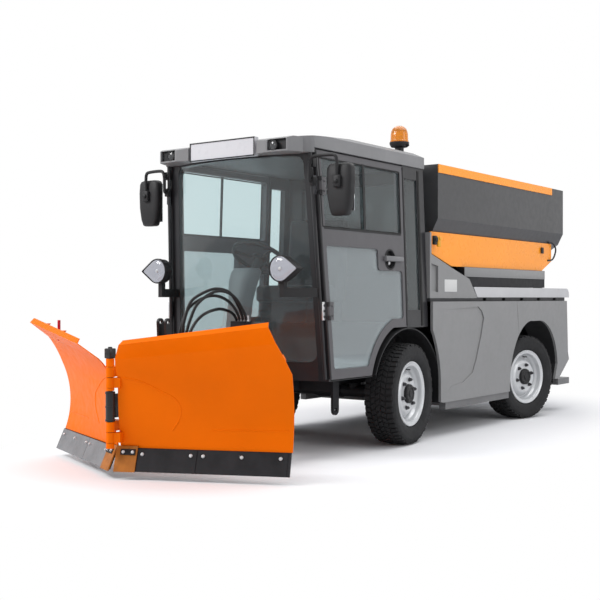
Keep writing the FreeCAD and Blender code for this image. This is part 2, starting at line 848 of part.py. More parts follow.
def door_mirror():
    head = box(mirror_x - mirror_half, mirror_x + mirror_half, mirror_y - mirror_half_depth,
               mirror_y + mirror_half_depth, mirror_z - mirror_half_height, mirror_z + mirror_half_height)
    head = head.makeFillet(mirror_round, head.Edges)
    front = mirror_y - mirror_half_depth - mirror_tube_radius / 2
    pillar_x = cab_half(mirror_arm_low_z) - mirror_tube_radius
    pillar_y = cab_corner_y(mirror_arm_low_z) - mirror_tube_radius
    points = [Vec(pillar_x, pillar_y + mirror_tube_radius, mirror_arm_low_z),
              Vec(pillar_x, pillar_y - mirror_arm_out, mirror_arm_low_z),
              Vec(pillar_x, pillar_y - mirror_arm_out, mirror_arm_top_z),
              Vec(mirror_x, front, mirror_arm_top_z), Vec(mirror_x, front, mirror_z)]
    arm = pipe(points, mirror_tube_radius)
    arm = arm.cut(cab_volume(0, cab_low_z, cab_top_z))
    return union([head, arm])


# Cab interior
seat_x = -190.0
seat_half = 235.0
seat_front_y = -330.0
seat_rear_y = 130.0
seat_low_z = 960.0
cushion_height = 120.0
back_thickness = 110.0
back_top_z = 1560.0
back_lean = 60.0
seat_round = 30.0
seat_box_half = 200.0
console_half = 105.0
console_front_y = -960.0
console_rear_y = -690.0
console_low_z = cab_low_z + cab_floor
console_top_z = 1190.0
console_lean = 90.0
steering_wheel_radius = 190.0
steering_rim_radius = 14.0
steering_rim_sides = 8
steering_tilt_deg = -32.0
steering_hub_radius = 42.0
steering_spoke_half = 13.0
steering_column_length = 145.0
steering_rise = 70.0


def seat_base():
    low = arch_flat_z + cab_floor
    return box(seat_x - seat_box_half, seat_x + seat_box_half, seat_front_y + overrun, seat_rear_y, low,
               seat_low_z)


def seat_cushions():
    cushion = box(seat_x - seat_half, seat_x + seat_half, seat_front_y, seat_rear_y - back_thickness - seat_gap,
                  seat_low_z, seat_low_z + cushion_height)
    cushion = cushion.makeFillet(seat_round, cushion.Edges)
    steps = [(seat_rear_y - back_thickness, seat_low_z), (seat_rear_y, seat_low_z),
             (seat_rear_y + back_lean, back_top_z), (seat_rear_y + back_lean - back_thickness, back_top_z)]
    back = prism("yz", steps, seat_x - seat_half, seat_x + seat_half)
    back = back.makeFillet(seat_round, back.Edges)
    return [cushion, back]


def steering_point():
    return Vec(seat_x, console_rear_y + console_lean, console_top_z)


def console():
    steps = [(console_front_y, console_low_z), (console_rear_y, console_low_z),
             (console_rear_y + console_lean, console_top_z - console_half),
             (console_rear_y + console_lean / 2, console_top_z),
             (console_front_y + console_lean, console_top_z)]
    body = prism("yz", steps, seat_x - console_half, seat_x + console_half)
    return body


def steering_wheel():
    corners = [math.radians(360 * (index + 1 / 2) / steering_rim_sides) for index in range(steering_rim_sides)]
    ring = revolved([(steering_rim_radius * math.sin(angle), steering_wheel_radius
                      + steering_rim_radius * math.cos(angle)) for angle in corners], Vec(0, 0, 0), False)
    hub = rod(Vec(0, 0, -steering_column_length), Vec(0, 0, steering_rim_radius), steering_hub_radius)
    pieces = [ring, hub]
    for turn in (90, 210, 330):
        spoke = box(0, steering_wheel_radius, -steering_spoke_half, steering_spoke_half,
                    -steering_rim_radius / 2, steering_rim_radius / 2)
        pieces.append(turned(spoke, Vec(0, 0, 0), Vec(0, 0, 1), turn))
    wheel = union(pieces)
    wheel.rotate(Vec(0, 0, 0), Vec(1, 0, 0), steering_tilt_deg)
    wheel.translate(steering_point() + Vec(0, steering_rise / 2, steering_rise))
    return wheel.cut(console())


# Body panels
panel_front_top_y = 300.0
panel_front_z = 769.0
panel_nose_y = 417.0
panel_nose_z = 411.0
panel_foot_z = 256.0
seam_top_y = 1690.0
seam_low_y = 1729.0
seam_low_z = 692.0
skirt_rear_y = 1560.0
rear_panel_y = 2768.0
rear_bulge_y = 2791.0
rear_bulge_z = 448.0
rear_bulge_top_z = 511.0
arch_bulge = 40.0
rear_foot_y = 2560.0
rear_foot_z = 290.0
panel_seam = 4.0
press_depth = 9.0
press_front_y = 455.0
press_outline = ((455.0, 335.0), (519.0, 320.0), (577.0, 358.0), (755.0, 374.0), (909.0, 435.0), (972.0, 532.0),
                 (1051.0, 702.0), (1099.0, 839.0), (1067.0, 890.0), (1003.0, 926.0), (455.0, 905.0))
arch_top_z = 801.0
arch_rear_y = 2528.0
arch_rear_z = 420.0
arch_rear_foot_y = 2473.0
liner_width = 233.0
liner_inner_x = body_half - liner_width
liner = 8.0
liner_steer_room = 12.0


def rear_arch_front(room):
    """Front edge of the rear arch, from the skirt up to the seam's foot, set back by some room."""
    halfway = ((skirt_rear_y + seam_low_y) / 2 - arch_bulge - room, (panel_low_z + seam_low_z) / 2 + arch_bulge)
    return [(skirt_rear_y - room, panel_low_z), (halfway, (seam_low_y, seam_low_z))]


def rear_arch_top():
    """The rest of the rear arch, over the wheel and down to the tail's foot."""
    return [((seam_low_y + 2.5 * arch_bulge, arch_top_z - arch_bulge), (wheelbase, arch_top_z)),
            (wheelbase + tyre_width, arch_top_z),
            ((arch_rear_y - 2.5 * arch_bulge, seam_low_z - arch_bulge / 2), (arch_rear_y, arch_rear_z)),
            (arch_rear_foot_y, rear_foot_z)]


def side_panel():
    middle = ((panel_front_top_y + panel_nose_y) / 2 + overrun, (panel_front_z + panel_nose_z) / 2 + overrun)
    steps = [(panel_front_top_y, panel_top_z), (panel_front_top_y, panel_front_z),
             (middle, (panel_nose_y, panel_nose_z)), (panel_nose_y, panel_foot_z),
             (panel_nose_y + 2 * overrun, panel_low_z)]
    steps += rear_arch_front(0)
    steps += [(seam_top_y, panel_top_z)]
    return prism("yz", steps, body_half - skin, body_half).cut(pressed_field())


def pressed_field():
    """Shallow field in the panel that deepens towards its rear crease."""
    field = prism("yz", press_outline, body_half - skin, body_half + overrun)
    rear = press_outline[7][0]
    wedge = [(body_half, press_front_y), (body_half + overrun, press_front_y), (body_half + overrun, rear),
             (body_half - press_depth, rear)]
    return field.common(prism("xy", wedge, panel_low_z, panel_top_z))


def rear_fender():
    steps = [(seam_top_y + panel_seam, panel_top_z), (seam_low_y + panel_seam, seam_low_z)]
    steps += rear_arch_top()
    steps += [(rear_foot_y, rear_foot_z), (rear_bulge_y, rear_bulge_z), (rear_panel_y, rear_bulge_top_z),
              (bed_rear_y, panel_top_z)]
    return prism("yz", steps, body_half - skin, body_half)


def front_liner():
    """Black mudguard over the front wheel, with its flap behind."""
    outer = arch_flat_z - wheel_height - seat_gap
    inner = outer - liner
    low_angle = math.asin((door_low_z - wheel_height) / outer)
    start_out = (-outer * math.cos(low_angle), wheel_height + outer * math.sin(low_angle))
    start_in = (-inner * math.cos(low_angle), wheel_height + inner * math.sin(low_angle))
    steps = [start_out, ((0, wheel_height + outer), (outer, wheel_height)), (outer, panel_low_z),
             (inner, panel_low_z), (inner, wheel_height), ((0, wheel_height + inner), start_in)]
    return prism("yz", steps, liner_inner_x, body_half - skin - seat_gap)


def rear_liner():
    front_foot = (skirt_rear_y - liner_steer_room, 0)
    outline = rear_arch_front(liner_steer_room) + rear_arch_top() + [(arch_rear_foot_y, 0), front_foot]
    inner = prism("yz", outline, liner_inner_x, body_half - skin - seat_gap)
    grown = wire("yz", outline, liner_inner_x).makeOffset2D(liner)
    outer = Part.Face(grown).extrude(Vec(body_half - skin - seat_gap - liner_inner_x, 0, 0))
    below = box(0, body_half, 0, bed_rear_y, -2 * liner, panel_low_z + liner)
    return outer.cut(inner).cut(below)


# Rear deck
fin_front_y = 298.0
fin_pillar_rear_y = 320.0
fin_top_z = 1452.0
fin_neck_z = 1299.0
fin_mid_y = 600.0
fin_mid_z = 1216.0
fin_rear_y = 900.0
fin_rear_z = 1133.0
fin_foot_y = 1030.0
fin_setback = 23.0
fin_half = body_half - fin_setback
fin_width = 60.0
fin_skin = 12.0
fin_body_rear_y = 800.0
fin_slot = ((321.0, 1046.0), (418.0, 1030.0), (418.0, 1217.0), (321.0, 1234.0))
fin_slot_depth = 18.0
board_front_y = 974.0
board_rear_y = 2848.0
board_low_z = 996.0
board_top_z = 1075.0
board_thickness = 28.0
board_round = 70.0
bed_front_y = 300.0
sill_low_z = 193.0
sill_front_y = 521.0
sill_rear_y = 1578.0
sill_half_width = 26.0
bumper_front_y = 2540.0
bumper_rear_y = 2792.0
bumper_low_z = 233.0
bumper_top_z = 287.0
rear_plate = 16.0
hanger_places_share = (0.2, 0.8)


def fin_cover():
    base = bed_top_z + seat_gap
    steps = [(fin_front_y, base), (fin_foot_y, base), (fin_rear_y, fin_rear_z), (fin_mid_y, fin_mid_z),
             (fin_pillar_rear_y, fin_neck_z), (fin_pillar_rear_y, fin_top_z), (fin_front_y, fin_top_z)]
    skin_plate = prism("yz", steps, fin_half - fin_skin, fin_half)
    body = prism("yz", steps, fin_half - fin_width, fin_half)
    body = body.common(box(0, fin_half, fin_front_y, fin_body_rear_y, base, fin_top_z))
    slot = prism("yz", fin_slot, fin_half - fin_slot_depth, fin_half + overrun)
    return union([skin_plate, body]).cut(slot)


def drop_side():
    steps = [(board_front_y, board_top_z), (fin_foot_y + door_gap, board_low_z), (board_rear_y, board_low_z),
             ((board_rear_y - board_round / 4, board_top_z - board_round / 4),
              (board_rear_y - board_round, board_top_z))]
    return prism("yz", steps, fin_half - board_thickness, fin_half)


def load_bed():
    """Flat platform between the drop sides, with the closing panel at its rear."""
    floor = box(-fin_half, fin_half, bed_front_y, bed_rear_y, panel_top_z + seat_gap, bed_top_z)
    ledges = []
    for side in (-1, 1):
        x_low, x_high = sorted((side * fin_half, side * (fin_half - board_thickness)))
        ledges.append(box(x_low, x_high, fin_foot_y + door_gap, bed_rear_y, bed_top_z, board_low_z))
    return union([floor] + ledges)


def rear_panel():
    x = body_half - skin - seat_gap
    return box(-x, x, bed_rear_y - rear_plate, bed_rear_y, rail_low_z, panel_top_z)


def guard_rails():
    """Sill tubes under the skirts and the bumper under the tail."""
    pieces = []
    for side in (-1, 1):
        x_low, x_high = sorted((side * (body_half - skin), side * (body_half - skin - 2 * sill_half_width)))
        pieces.append(box(x_low, x_high, sill_front_y, sill_rear_y, sill_low_z, panel_low_z - seat_gap))
        x_low, x_high = sorted((side * rail_outer_x, side * (body_half - skin)))
        for share in hanger_places_share:
            y = sill_front_y + share * (sill_rear_y - sill_front_y)
            pieces.append(box(x_low, x_high, y, y + sill_half_width, sill_low_z, panel_low_z - sill_half_width / 2))
            inner_low, inner_high = sorted((side * rail_outer_x, side * rail_inner_x))
            pieces.append(box(inner_low, inner_high, y, y + sill_half_width, sill_low_z, rail_low_z))
    halves = [union(pieces[:len(pieces) // 2]), union(pieces[len(pieces) // 2:])]
    bumper = box(-body_half, body_half, bumper_front_y, bumper_rear_y, bumper_low_z, bumper_top_z)
    hangers = [box(side * rail_inner_x - sill_half_width, side * rail_inner_x + sill_half_width, bumper_front_y,
                   rail_rear_y, bumper_top_z, rail_low_z) for side in (-1, 1)]
    return halves + [union([bumper] + hangers)]


# Hopper
hopper_wall = 8.0
hopper_crease_z = 1556.0
hopper_neck_z = 1462.0
hopper_neck_in = 47.0
hopper_neck_half = hopper_half - hopper_neck_in
trough_half = 150.0
trough_low_z = 1150.0
band_low_z = 1880.0
band_rear_y = 2448.0
band_thickness = 6.0
skirt_top_front_y = 372.0
skirt_top_rear_y = 2527.0
skirt_low_front_y = 685.0
skirt_low_rear_y = 2319.0
skirt_low_z = 1223.0
skirt_chamfer_z = 1310.0
skirt_thickness = 12.0
frame_inset = 15.0
leg_inset = 20.0
frame_mid_z = 1079.0
frame_front_y = 844.0
frame_rear_y = 2334.0
frame_half = hopper_half - frame_inset
frame_tube = 60.0
frame_leg_half = frame_half - leg_inset


def hopper_section(inset):
    low = trough_low_z + inset
    top = hopper_top_z if inset == 0 else hopper_top_z + overrun
    return [(-hopper_half + inset, top), (-hopper_half + inset, hopper_crease_z),
            (-hopper_neck_half + inset, hopper_neck_z), (-trough_half + inset / 2, low),
            (trough_half - inset / 2, low), (hopper_neck_half - inset, hopper_neck_z),
            (hopper_half - inset, hopper_crease_z), (hopper_half - inset, top)]


def hopper():
    """Open steel hopper whose sides fall to the conveyor trough."""
    outer = prism("xz", hopper_section(0), hopper_front_y, hopper_rear_y)
    inner = prism("xz", hopper_section(hopper_wall), hopper_front_y + hopper_wall, hopper_rear_y - hopper_wall)
    outlet = box(-chute_half + chute_wall, chute_half - chute_wall, hopper_rear_y - 2 * hopper_wall,
                 hopper_rear_y + overrun, trough_low_z + hopper_wall, chute_top_z - chute_wall)
    return outer.cut(inner).cut(outlet)


def hopper_bands():
    return box(hopper_half, hopper_half + band_thickness, hopper_front_y, band_rear_y, band_low_z, hopper_top_z)


def hopper_skirt():
    steps = [(skirt_top_front_y, hopper_neck_z), (skirt_top_front_y, skirt_chamfer_z),
             (skirt_low_front_y, skirt_low_z), (skirt_low_rear_y, skirt_low_z),
             (skirt_top_rear_y, skirt_chamfer_z), (skirt_top_rear_y, hopper_neck_z)]
    return prism("yz", steps, hopper_neck_half, hopper_neck_half + skirt_thickness)


def spreader_frame():
    """Steel frame that carries the hopper on the bed."""
    pieces = []
    for side in (-1, 1):
        x_low, x_high = sorted((side * frame_half, side * (frame_half - frame_tube)))
        pieces.append(box(x_low, x_high, frame_front_y, frame_rear_y, frame_mid_z, skirt_low_z))
        x_low, x_high = sorted((side * frame_leg_half, side * (frame_leg_half - frame_tube)))
        for y in (frame_front_y, (frame_front_y + frame_rear_y) / 2, frame_rear_y - frame_tube):
            pieces.append(box(x_low, x_high, y, y + frame_tube, bed_top_z, frame_mid_z + frame_tube / 2))
    for y in (frame_front_y, (frame_front_y + frame_rear_y) / 2, frame_rear_y - frame_tube):
        pieces.append(box(-frame_half, frame_half, y, y + frame_tube, frame_mid_z, trough_low_z - seat_gap))
    solid = union(pieces)
    return solid.cut(prism("xz", hopper_section(0), frame_front_y - overrun, frame_rear_y + overrun))


# Spreader tail
chute_half = 120.0
chute_front_y = 2800.0
chute_rear_y = 3010.0
chute_top_z = 1220.0
chute_low_z = 520.0
chute_wall = 6.0
disc_z = 430.0
disc_thickness_z = 8.0
disc_shaft_radius = 18.0
disc_motor_radius = 55.0
spout_low_z = 1140.0
vane_height = 45.0
vane_thickness = 5.0
vane_count = 6
chute_arm = 40.0


def chute():
    """Drop chute behind the tail, and the disc's motor on its own arm."""
    outer = box(-chute_half, chute_half, chute_front_y, chute_rear_y, chute_low_z, chute_top_z)
    inner = box(-chute_half + chute_wall, chute_half - chute_wall, chute_front_y + chute_wall,
                chute_rear_y - chute_wall, chute_low_z - overrun, chute_top_z + overrun)
    spout = box(-chute_half, chute_half, hopper_rear_y + seat_gap, chute_rear_y - chute_wall, spout_low_z,
                chute_top_z)
    duct = box(-chute_half + chute_wall, chute_half - chute_wall, hopper_rear_y - overrun, chute_rear_y - chute_wall,
               spout_low_z + chute_wall, chute_top_z - chute_wall)
    pieces = [union([outer, spout]).cut(inner).cut(duct)]
    for side in (-1, 1):
        x = side * (chute_half - chute_arm)
        pieces.append(box(x - chute_arm / 2, x + chute_arm / 2, bed_rear_y + seat_gap, chute_front_y
                          + chute_wall / 2, panel_top_z - 2 * chute_arm, panel_top_z - chute_arm))
    base = bumper_top_z + seat_gap
    arm = box(-chute_arm / 2, chute_arm / 2, bumper_front_y + chute_arm, disc_centre_y, base, base + chute_arm)
    motor = rod(Vec(0, disc_centre_y, base), Vec(0, disc_centre_y, disc_z - door_gap), disc_motor_radius)
    return [union(pieces), union([arm, motor])]


def spinner():
    plate = rod(Vec(0, disc_centre_y, disc_z), Vec(0, disc_centre_y, disc_z + disc_thickness_z), disc_radius)
    shaft = rod(Vec(0, disc_centre_y, disc_z - door_gap + seat_gap), Vec(0, disc_centre_y, disc_z),
                disc_shaft_radius)
    pieces = [plate, shaft]
    for index in range(vane_count):
        vane = box(disc_shaft_radius, disc_radius, disc_centre_y, disc_centre_y + vane_thickness,
                   disc_z + disc_thickness_z, disc_z + vane_height)
        pieces.append(turned(vane, Vec(0, disc_centre_y, 0), Vec(0, 0, 1), 360 * index / vane_count))
    return union(pieces)


# Hitch and lift linkage at the nose
link_rear_y = -1196.0
link_front_y = -1566.0
lower_link_z = 300.0
upper_link_z = 480.0
lower_link_x = 200.0
upper_link_x = 110.0
link_half_thickness = 10.0
link_eye_radius = 32.0
link_half_height = 24.0
link_pin_radius = 12.0
open_pin_clearance = 2.0
hitch_plate = 15.0
hitch_beam_half = 420.0
hitch_beam_depth = 70.0
hitch_low_z = 255.0
hitch_top_z = 535.0
link_gap = 6.0
coupler_x = 165.0
coupler_half = 62.0
coupler_front_y = -1226.0
coupler_rear_y = -1176.0
coupler_low_z = 770.0
coupler_top_z = 850.0
coupler_post_half = 16.0
lift_foot_y = -1206.0
lift_foot_z = 640.0
lift_eye_y = -1440.0
lift_eye_z = 345.0
lift_ram_closed = 250.0
lift_tube_radius = 16.0
lift_tube_drop = 6.0
lift_ear = 8.0
ram_barrel_radius = 27.0
ram_rod_radius = 13.0
eye_half_width = 30.0
eye_radius = 24.0
eye_bore = 12.0
ram_end_gap = 8.0


def plate_yz(points, x_middle, half_thickness):
    return prism("yz", points, x_middle - half_thickness, x_middle + half_thickness)


def front_hitch():
    """Coupling frame under the cab's nose, with the pins of the lift links."""
    beam_front = rail_front_y - hitch_beam_depth
    pieces = [box(-hitch_beam_half, hitch_beam_half, beam_front, rail_front_y, rail_low_z, rail_top_z)]
    tip = link_rear_y - link_eye_radius
    for side in (-1, 1):
        outer = lower_link_x + link_half_thickness + link_gap + hitch_plate / 2
        pieces.append(box(side * outer - hitch_plate / 2, side * outer + hitch_plate / 2, tip, rail_front_y,
                          hitch_low_z, rail_top_z))
        pieces.append(rod(Vec(side * (outer + hitch_plate / 2), link_rear_y, lower_link_z),
                          Vec(side * (lower_link_x - link_half_thickness - link_gap), link_rear_y, lower_link_z),
                          link_pin_radius))
        inner = upper_link_x + link_half_thickness + link_gap + hitch_plate / 2
        pieces.append(box(side * inner - hitch_plate / 2, side * inner + hitch_plate / 2, tip, rail_front_y,
                          rail_low_z, hitch_top_z))
        pieces.append(rod(Vec(side * (inner + hitch_plate / 2), link_rear_y, upper_link_z),
                          Vec(side * (upper_link_x - link_half_thickness - link_gap), link_rear_y, upper_link_z),
                          link_pin_radius))
        ear = eye_half_width + link_gap / 2 + lift_ear / 2
        pieces.append(box(side * ear - lift_ear / 2, side * ear + lift_ear / 2, lift_foot_y - eye_radius,
                          beam_front + overrun, rail_top_z - overrun, lift_foot_z + eye_radius))
    pieces.append(rod(Vec(-eye_half_width - link_gap - lift_ear, lift_foot_y, lift_foot_z),
                      Vec(eye_half_width + link_gap + lift_ear, lift_foot_y, lift_foot_z), eye_bore))
    post_front = coupler_rear_y - 2 * coupler_post_half
    pieces.append(box(coupler_x - coupler_post_half, coupler_x + coupler_post_half, post_front,
                      beam_front + overrun, rail_low_z, coupler_low_z + overrun))
    pieces.append(box(coupler_x - coupler_half, coupler_x + coupler_half, coupler_front_y, coupler_rear_y,
                      coupler_low_z, coupler_top_z))
    return union(pieces)


def link_bar(x_middle, z, front_bore):
    bar = box(x_middle - link_half_thickness, x_middle + link_half_thickness, link_front_y, link_rear_y,
              z - link_half_height, z + link_half_height)
    pieces = [bar]
    for y in (link_rear_y, link_front_y):
        pieces.append(rod(Vec(x_middle - link_half_thickness, y, z), Vec(x_middle + link_half_thickness, y, z),
                          link_eye_radius))
    solid = union(pieces)
    for y, radius in ((link_rear_y, link_pin_radius + running_clearance), (link_front_y, front_bore)):
        solid = solid.cut(rod(Vec(x_middle - link_eye_radius, y, z), Vec(x_middle + link_eye_radius, y, z), radius))
    return solid


def lower_links():
    """The two lifting arms and the cross tube that the lift ram pushes on."""
    bars = [link_bar(side * lower_link_x, lower_link_z, link_pin_radius + running_clearance) for side in (-1, 1)]
    tube_z = lower_link_z - lift_tube_drop
    tube = rod(Vec(-lower_link_x, lift_eye_y, tube_z), Vec(lower_link_x, lift_eye_y, tube_z), lift_tube_radius)
    pieces = bars + [tube]
    for side in (-1, 1):
        ear = eye_half_width + link_gap + lift_ear / 2
        steps = [(lift_eye_y - lift_tube_radius, tube_z), (lift_eye_y + lift_tube_radius, tube_z),
                 (lift_eye_y + eye_radius, lift_eye_z), ((lift_eye_y, lift_eye_z + eye_radius),
                                                         (lift_eye_y - eye_radius, lift_eye_z))]
        pieces.append(plate_yz(steps, side * ear, lift_ear / 2))
        pieces.append(rod(Vec(side * (ear + lift_ear / 2), lift_eye_y, lift_eye_z),
                          Vec(side * (ear + lift_ear), lift_eye_y, lift_eye_z), eye_bore))
    return union(pieces)


def upper_links():
    return [link_bar(side * upper_link_x, upper_link_z, link_pin_radius + open_pin_clearance)
            for side in (-1, 1)]


def ram(foot, eye, closed, across):
    """Hydraulic cylinder from foot to eye: its barrel and its rod. Closed is its shortest length."""
    axis = eye - foot
    travelled = axis.Length - closed
    axis.normalize()
    mouth = foot + axis * (closed - eye_radius - ram_end_gap)
    bottom = foot + axis * (eye_radius + ram_end_gap / 2)
    rod_start = foot + axis * (travelled + eye_radius + ram_end_gap)
    half = across * eye_half_width
    pin_bore = eye_bore + running_clearance
    barrel = union([rod(foot - half, foot + half, eye_radius),
                    rod(foot + axis * (eye_radius / 2), mouth, ram_barrel_radius)])
    barrel = barrel.cut(rod(foot - half * 2, foot + half * 2, pin_bore))
    barrel = barrel.cut(rod(bottom, mouth + axis * overrun, ram_rod_radius + running_clearance))
    piston = union([rod(rod_start, eye, ram_rod_radius), rod(eye - half, eye + half, eye_radius)])
    piston = piston.cut(rod(eye - half * 2, eye + half * 2, pin_bore))
    return barrel, piston


# Plough
column_radius = 14.0
knuckle_radius = 24.0
knuckle_height = 55.0
column_low_z = 190.0
column_top_z = 705.0
sleeve_low_z = 318.0
sleeve_top_z = 480.0
sleeve_radius = 25.0
left_knuckles = (200.0, 500.0)
right_knuckles = (258.0, 558.0)
spine_half = 36.0
spine_low_z = 335.0
spine_top_z = 465.0
mast_eye_z = 850.0
mast_eye_radius = 24.0
mast_bore_radius = 11.0
mast_half = 30.0
spine_neck_half = 10.0
spine_neck_y = -1990.0
wing_ram_foot_x = 90.0
wing_ram_foot_y = -1920.0
wing_ram_eye_t = 600.0
wing_ram_eye_n = -190.0
wing_ram_z = 400.0
wing_ram_closed = 410.0
board_sheet = 8.0
wing_inner_t = 38.0
edge_thickness = 16.0
edge_top_z = 166.0
edge_lean = 52.0
edge_inner_t = 46.0
rib_places_share = (0.42, 0.7, 0.96)
rib_thickness = 10.0
rib_depth = 34.0
knuckle_arm_t = 130.0
arm_root_t = 58.0
behind_hinge_deg = 56.0
wing_beam_low_z = 250.0
wing_beam_top_z = 330.0

# The outer end's section, as forward reach and height; the inner end is a share of it.
mould_foot = (-60.0, 166.3)
mould_belly = (-93.0, 345.0)
mould_neck = (-50.0, 568.0)
mould_fold = (-8.0, 651.0)
mould_crease = (67.0, 758.0)
mould_brow = (188.0, 850.0)
mould_lip = (165.0, 876.0)
inner_height_share = 0.822
inner_reach_share = 0.8
inner_belly_share = 0.3
top_corner = ((1010.0, 529.0), (947.0, 756.0), (929.0, 890.0))
inner_corner = ((51.0, 662.0), (126.0, 762.0))


def wing_section(t, height_share, reach_share, belly_share, back, forward):
    """Closed section of the mouldboard at a distance t from the hinge."""
    foot_z = mould_foot[1]

    def place(point, shift):
        reach, height = point
        if point != mould_foot:
            reach = reach * (reach_share if reach > 0 else belly_share)
        return Vec(t, -(reach + shift), foot_z + (height - foot_z) * height_share)

    front = [place(p, forward) for p in (mould_foot, mould_belly, mould_neck, mould_fold, mould_crease,
                                         mould_brow, mould_lip)]
    rear = [place(p, -back) for p in (mould_foot, mould_belly, mould_neck, mould_fold, mould_crease,
                                      mould_brow, mould_lip)]
    edges = [Part.Arc(front[0], front[1], front[2]).toShape(), Part.Arc(front[2], front[3], front[4]).toShape(),
             Part.LineSegment(front[4], front[5]).toShape(), Part.LineSegment(front[5], front[6]).toShape(),
             Part.LineSegment(front[6], rear[6]).toShape(), Part.LineSegment(rear[6], rear[5]).toShape(),
             Part.LineSegment(rear[5], rear[4]).toShape(), Part.Arc(rear[4], rear[3], rear[2]).toShape(),
             Part.Arc(rear[2], rear[1], rear[0]).toShape(), Part.LineSegment(rear[0], front[0]).toShape()]
    return Part.Wire(edges)


def wing_band(back, forward):
    return Part.makeLoft([wing_section(0, inner_height_share, inner_reach_share, inner_belly_share, back, forward),
                          wing_section(wing_length, 1, 1, 1, back, forward)], True, True)


def belly_depth(t):
    """How far the mouldboard's belly lies behind the hinge plane at a distance t."""
    return -mould_belly[0] * blend(inner_belly_share, 1, t, 0, wing_length)


def wing_trim():
    """Side outline that cuts the mouldboard's inner and outer edges."""
    reach = mould_brow[0] * 2
    steps = [(wing_inner_t, 0), (wing_length + 2 * overrun, 0), (wing_length + overrun, top_corner[0][1]),
             top_corner[1], top_corner[2], (top_corner[2][0], hopper_top_z), (inner_corner[1][0], hopper_top_z),
             inner_corner[1], inner_corner[0], (wing_inner_t, inner_corner[0][1] - 2 * overrun)]
    return prism("xz", steps, -reach, reach)


def beyond_hinge():
    """The room behind the hinge that belongs to the other wing."""
    angle = math.radians(behind_hinge_deg)
    far = wing_length
    steps = [(0, 0), (far * math.cos(angle), far * math.sin(angle)), (-far, far), (-far, 0)]
    return prism("xy", steps, 0, hopper_top_z)


def wing(knuckles):
    """Left wing about its hinge, pointing along +X and pushing towards -Y."""
    other_side = beyond_hinge()
    pieces = [wing_band(board_sheet, 0).common(wing_trim()).cut(other_side)]
    deep = wing_band(rib_depth, -board_sheet / 2)
    trim = wing_trim()
    ahead = wing_band(board_sheet / 2, hopper_half).common(
        box(arm_root_t, 2 * wing_length, -2 * hopper_half, hopper_half, 0, hopper_top_z))
    for share in rib_places_share:
        t = share * wing_length
        slab = box(t, t + rib_thickness, -hopper_half, hopper_half, mould_foot[1], hopper_top_z)
        pieces.append(deep.common(slab).common(trim))
    inner_t, outer_t = rib_places_share[0] * wing_length, rib_places_share[-1] * wing_length
    beam = [(inner_t, belly_depth(inner_t)), (outer_t, belly_depth(outer_t)),
            (outer_t, belly_depth(outer_t) + rib_depth), (inner_t, belly_depth(inner_t) + rib_depth)]
    pieces.append(prism("xy", beam, wing_beam_low_z, wing_beam_top_z).cut(ahead))
    for z in knuckles:
        pieces.append(rod(Vec(0, 0, z), Vec(0, 0, z + knuckle_height), knuckle_radius))
        arm = [(0, -knuckle_radius / 2), (knuckle_arm_t, belly_depth(knuckle_arm_t) - rib_depth / 2),
               (knuckle_arm_t, belly_depth(knuckle_arm_t) + rib_depth), (arm_root_t, rib_depth - mould_foot[0]),
               (0, knuckle_radius)]
        pieces.append(prism("xy", arm, z, z + knuckle_height).cut(ahead).cut(other_side))
    eye_z = wing_ram_z
    for z in (eye_z + eye_half_width + link_gap, eye_z - eye_half_width - link_gap - lift_ear):
        ear = [(wing_ram_eye_t - 2 * eye_radius, belly_depth(wing_ram_eye_t) - board_sheet),
               (wing_ram_eye_t + 2 * eye_radius, belly_depth(wing_ram_eye_t) - board_sheet),
               (wing_ram_eye_t + eye_radius, -wing_ram_eye_n + eye_radius),
               (wing_ram_eye_t - eye_radius, -wing_ram_eye_n + eye_radius)]
        pieces.append(prism("xy", ear, z, z + lift_ear).cut(ahead))
    solid = union(pieces)
    solid = solid.cut(rod(Vec(0, 0, 0), Vec(0, 0, hopper_top_z), column_radius + running_clearance))
    return solid


def cutting_edge():
    steps = [(0, plough_edge_z), (edge_thickness, plough_edge_z), (edge_lean + edge_thickness, edge_top_z),
             (edge_lean, edge_top_z)]
    return prism("yz", steps, edge_inner_t, wing_length - door_gap)


def place_wing(shape, side):
    piece = shape.copy()
    piece.rotate(Vec(0, 0, 0), Vec(0, 0, 1), plough_sweep_deg)
    if side < 0:
        piece = mirrored(piece)
    piece.translate(Vec(0, plough_hinge_y, 0))
    return piece


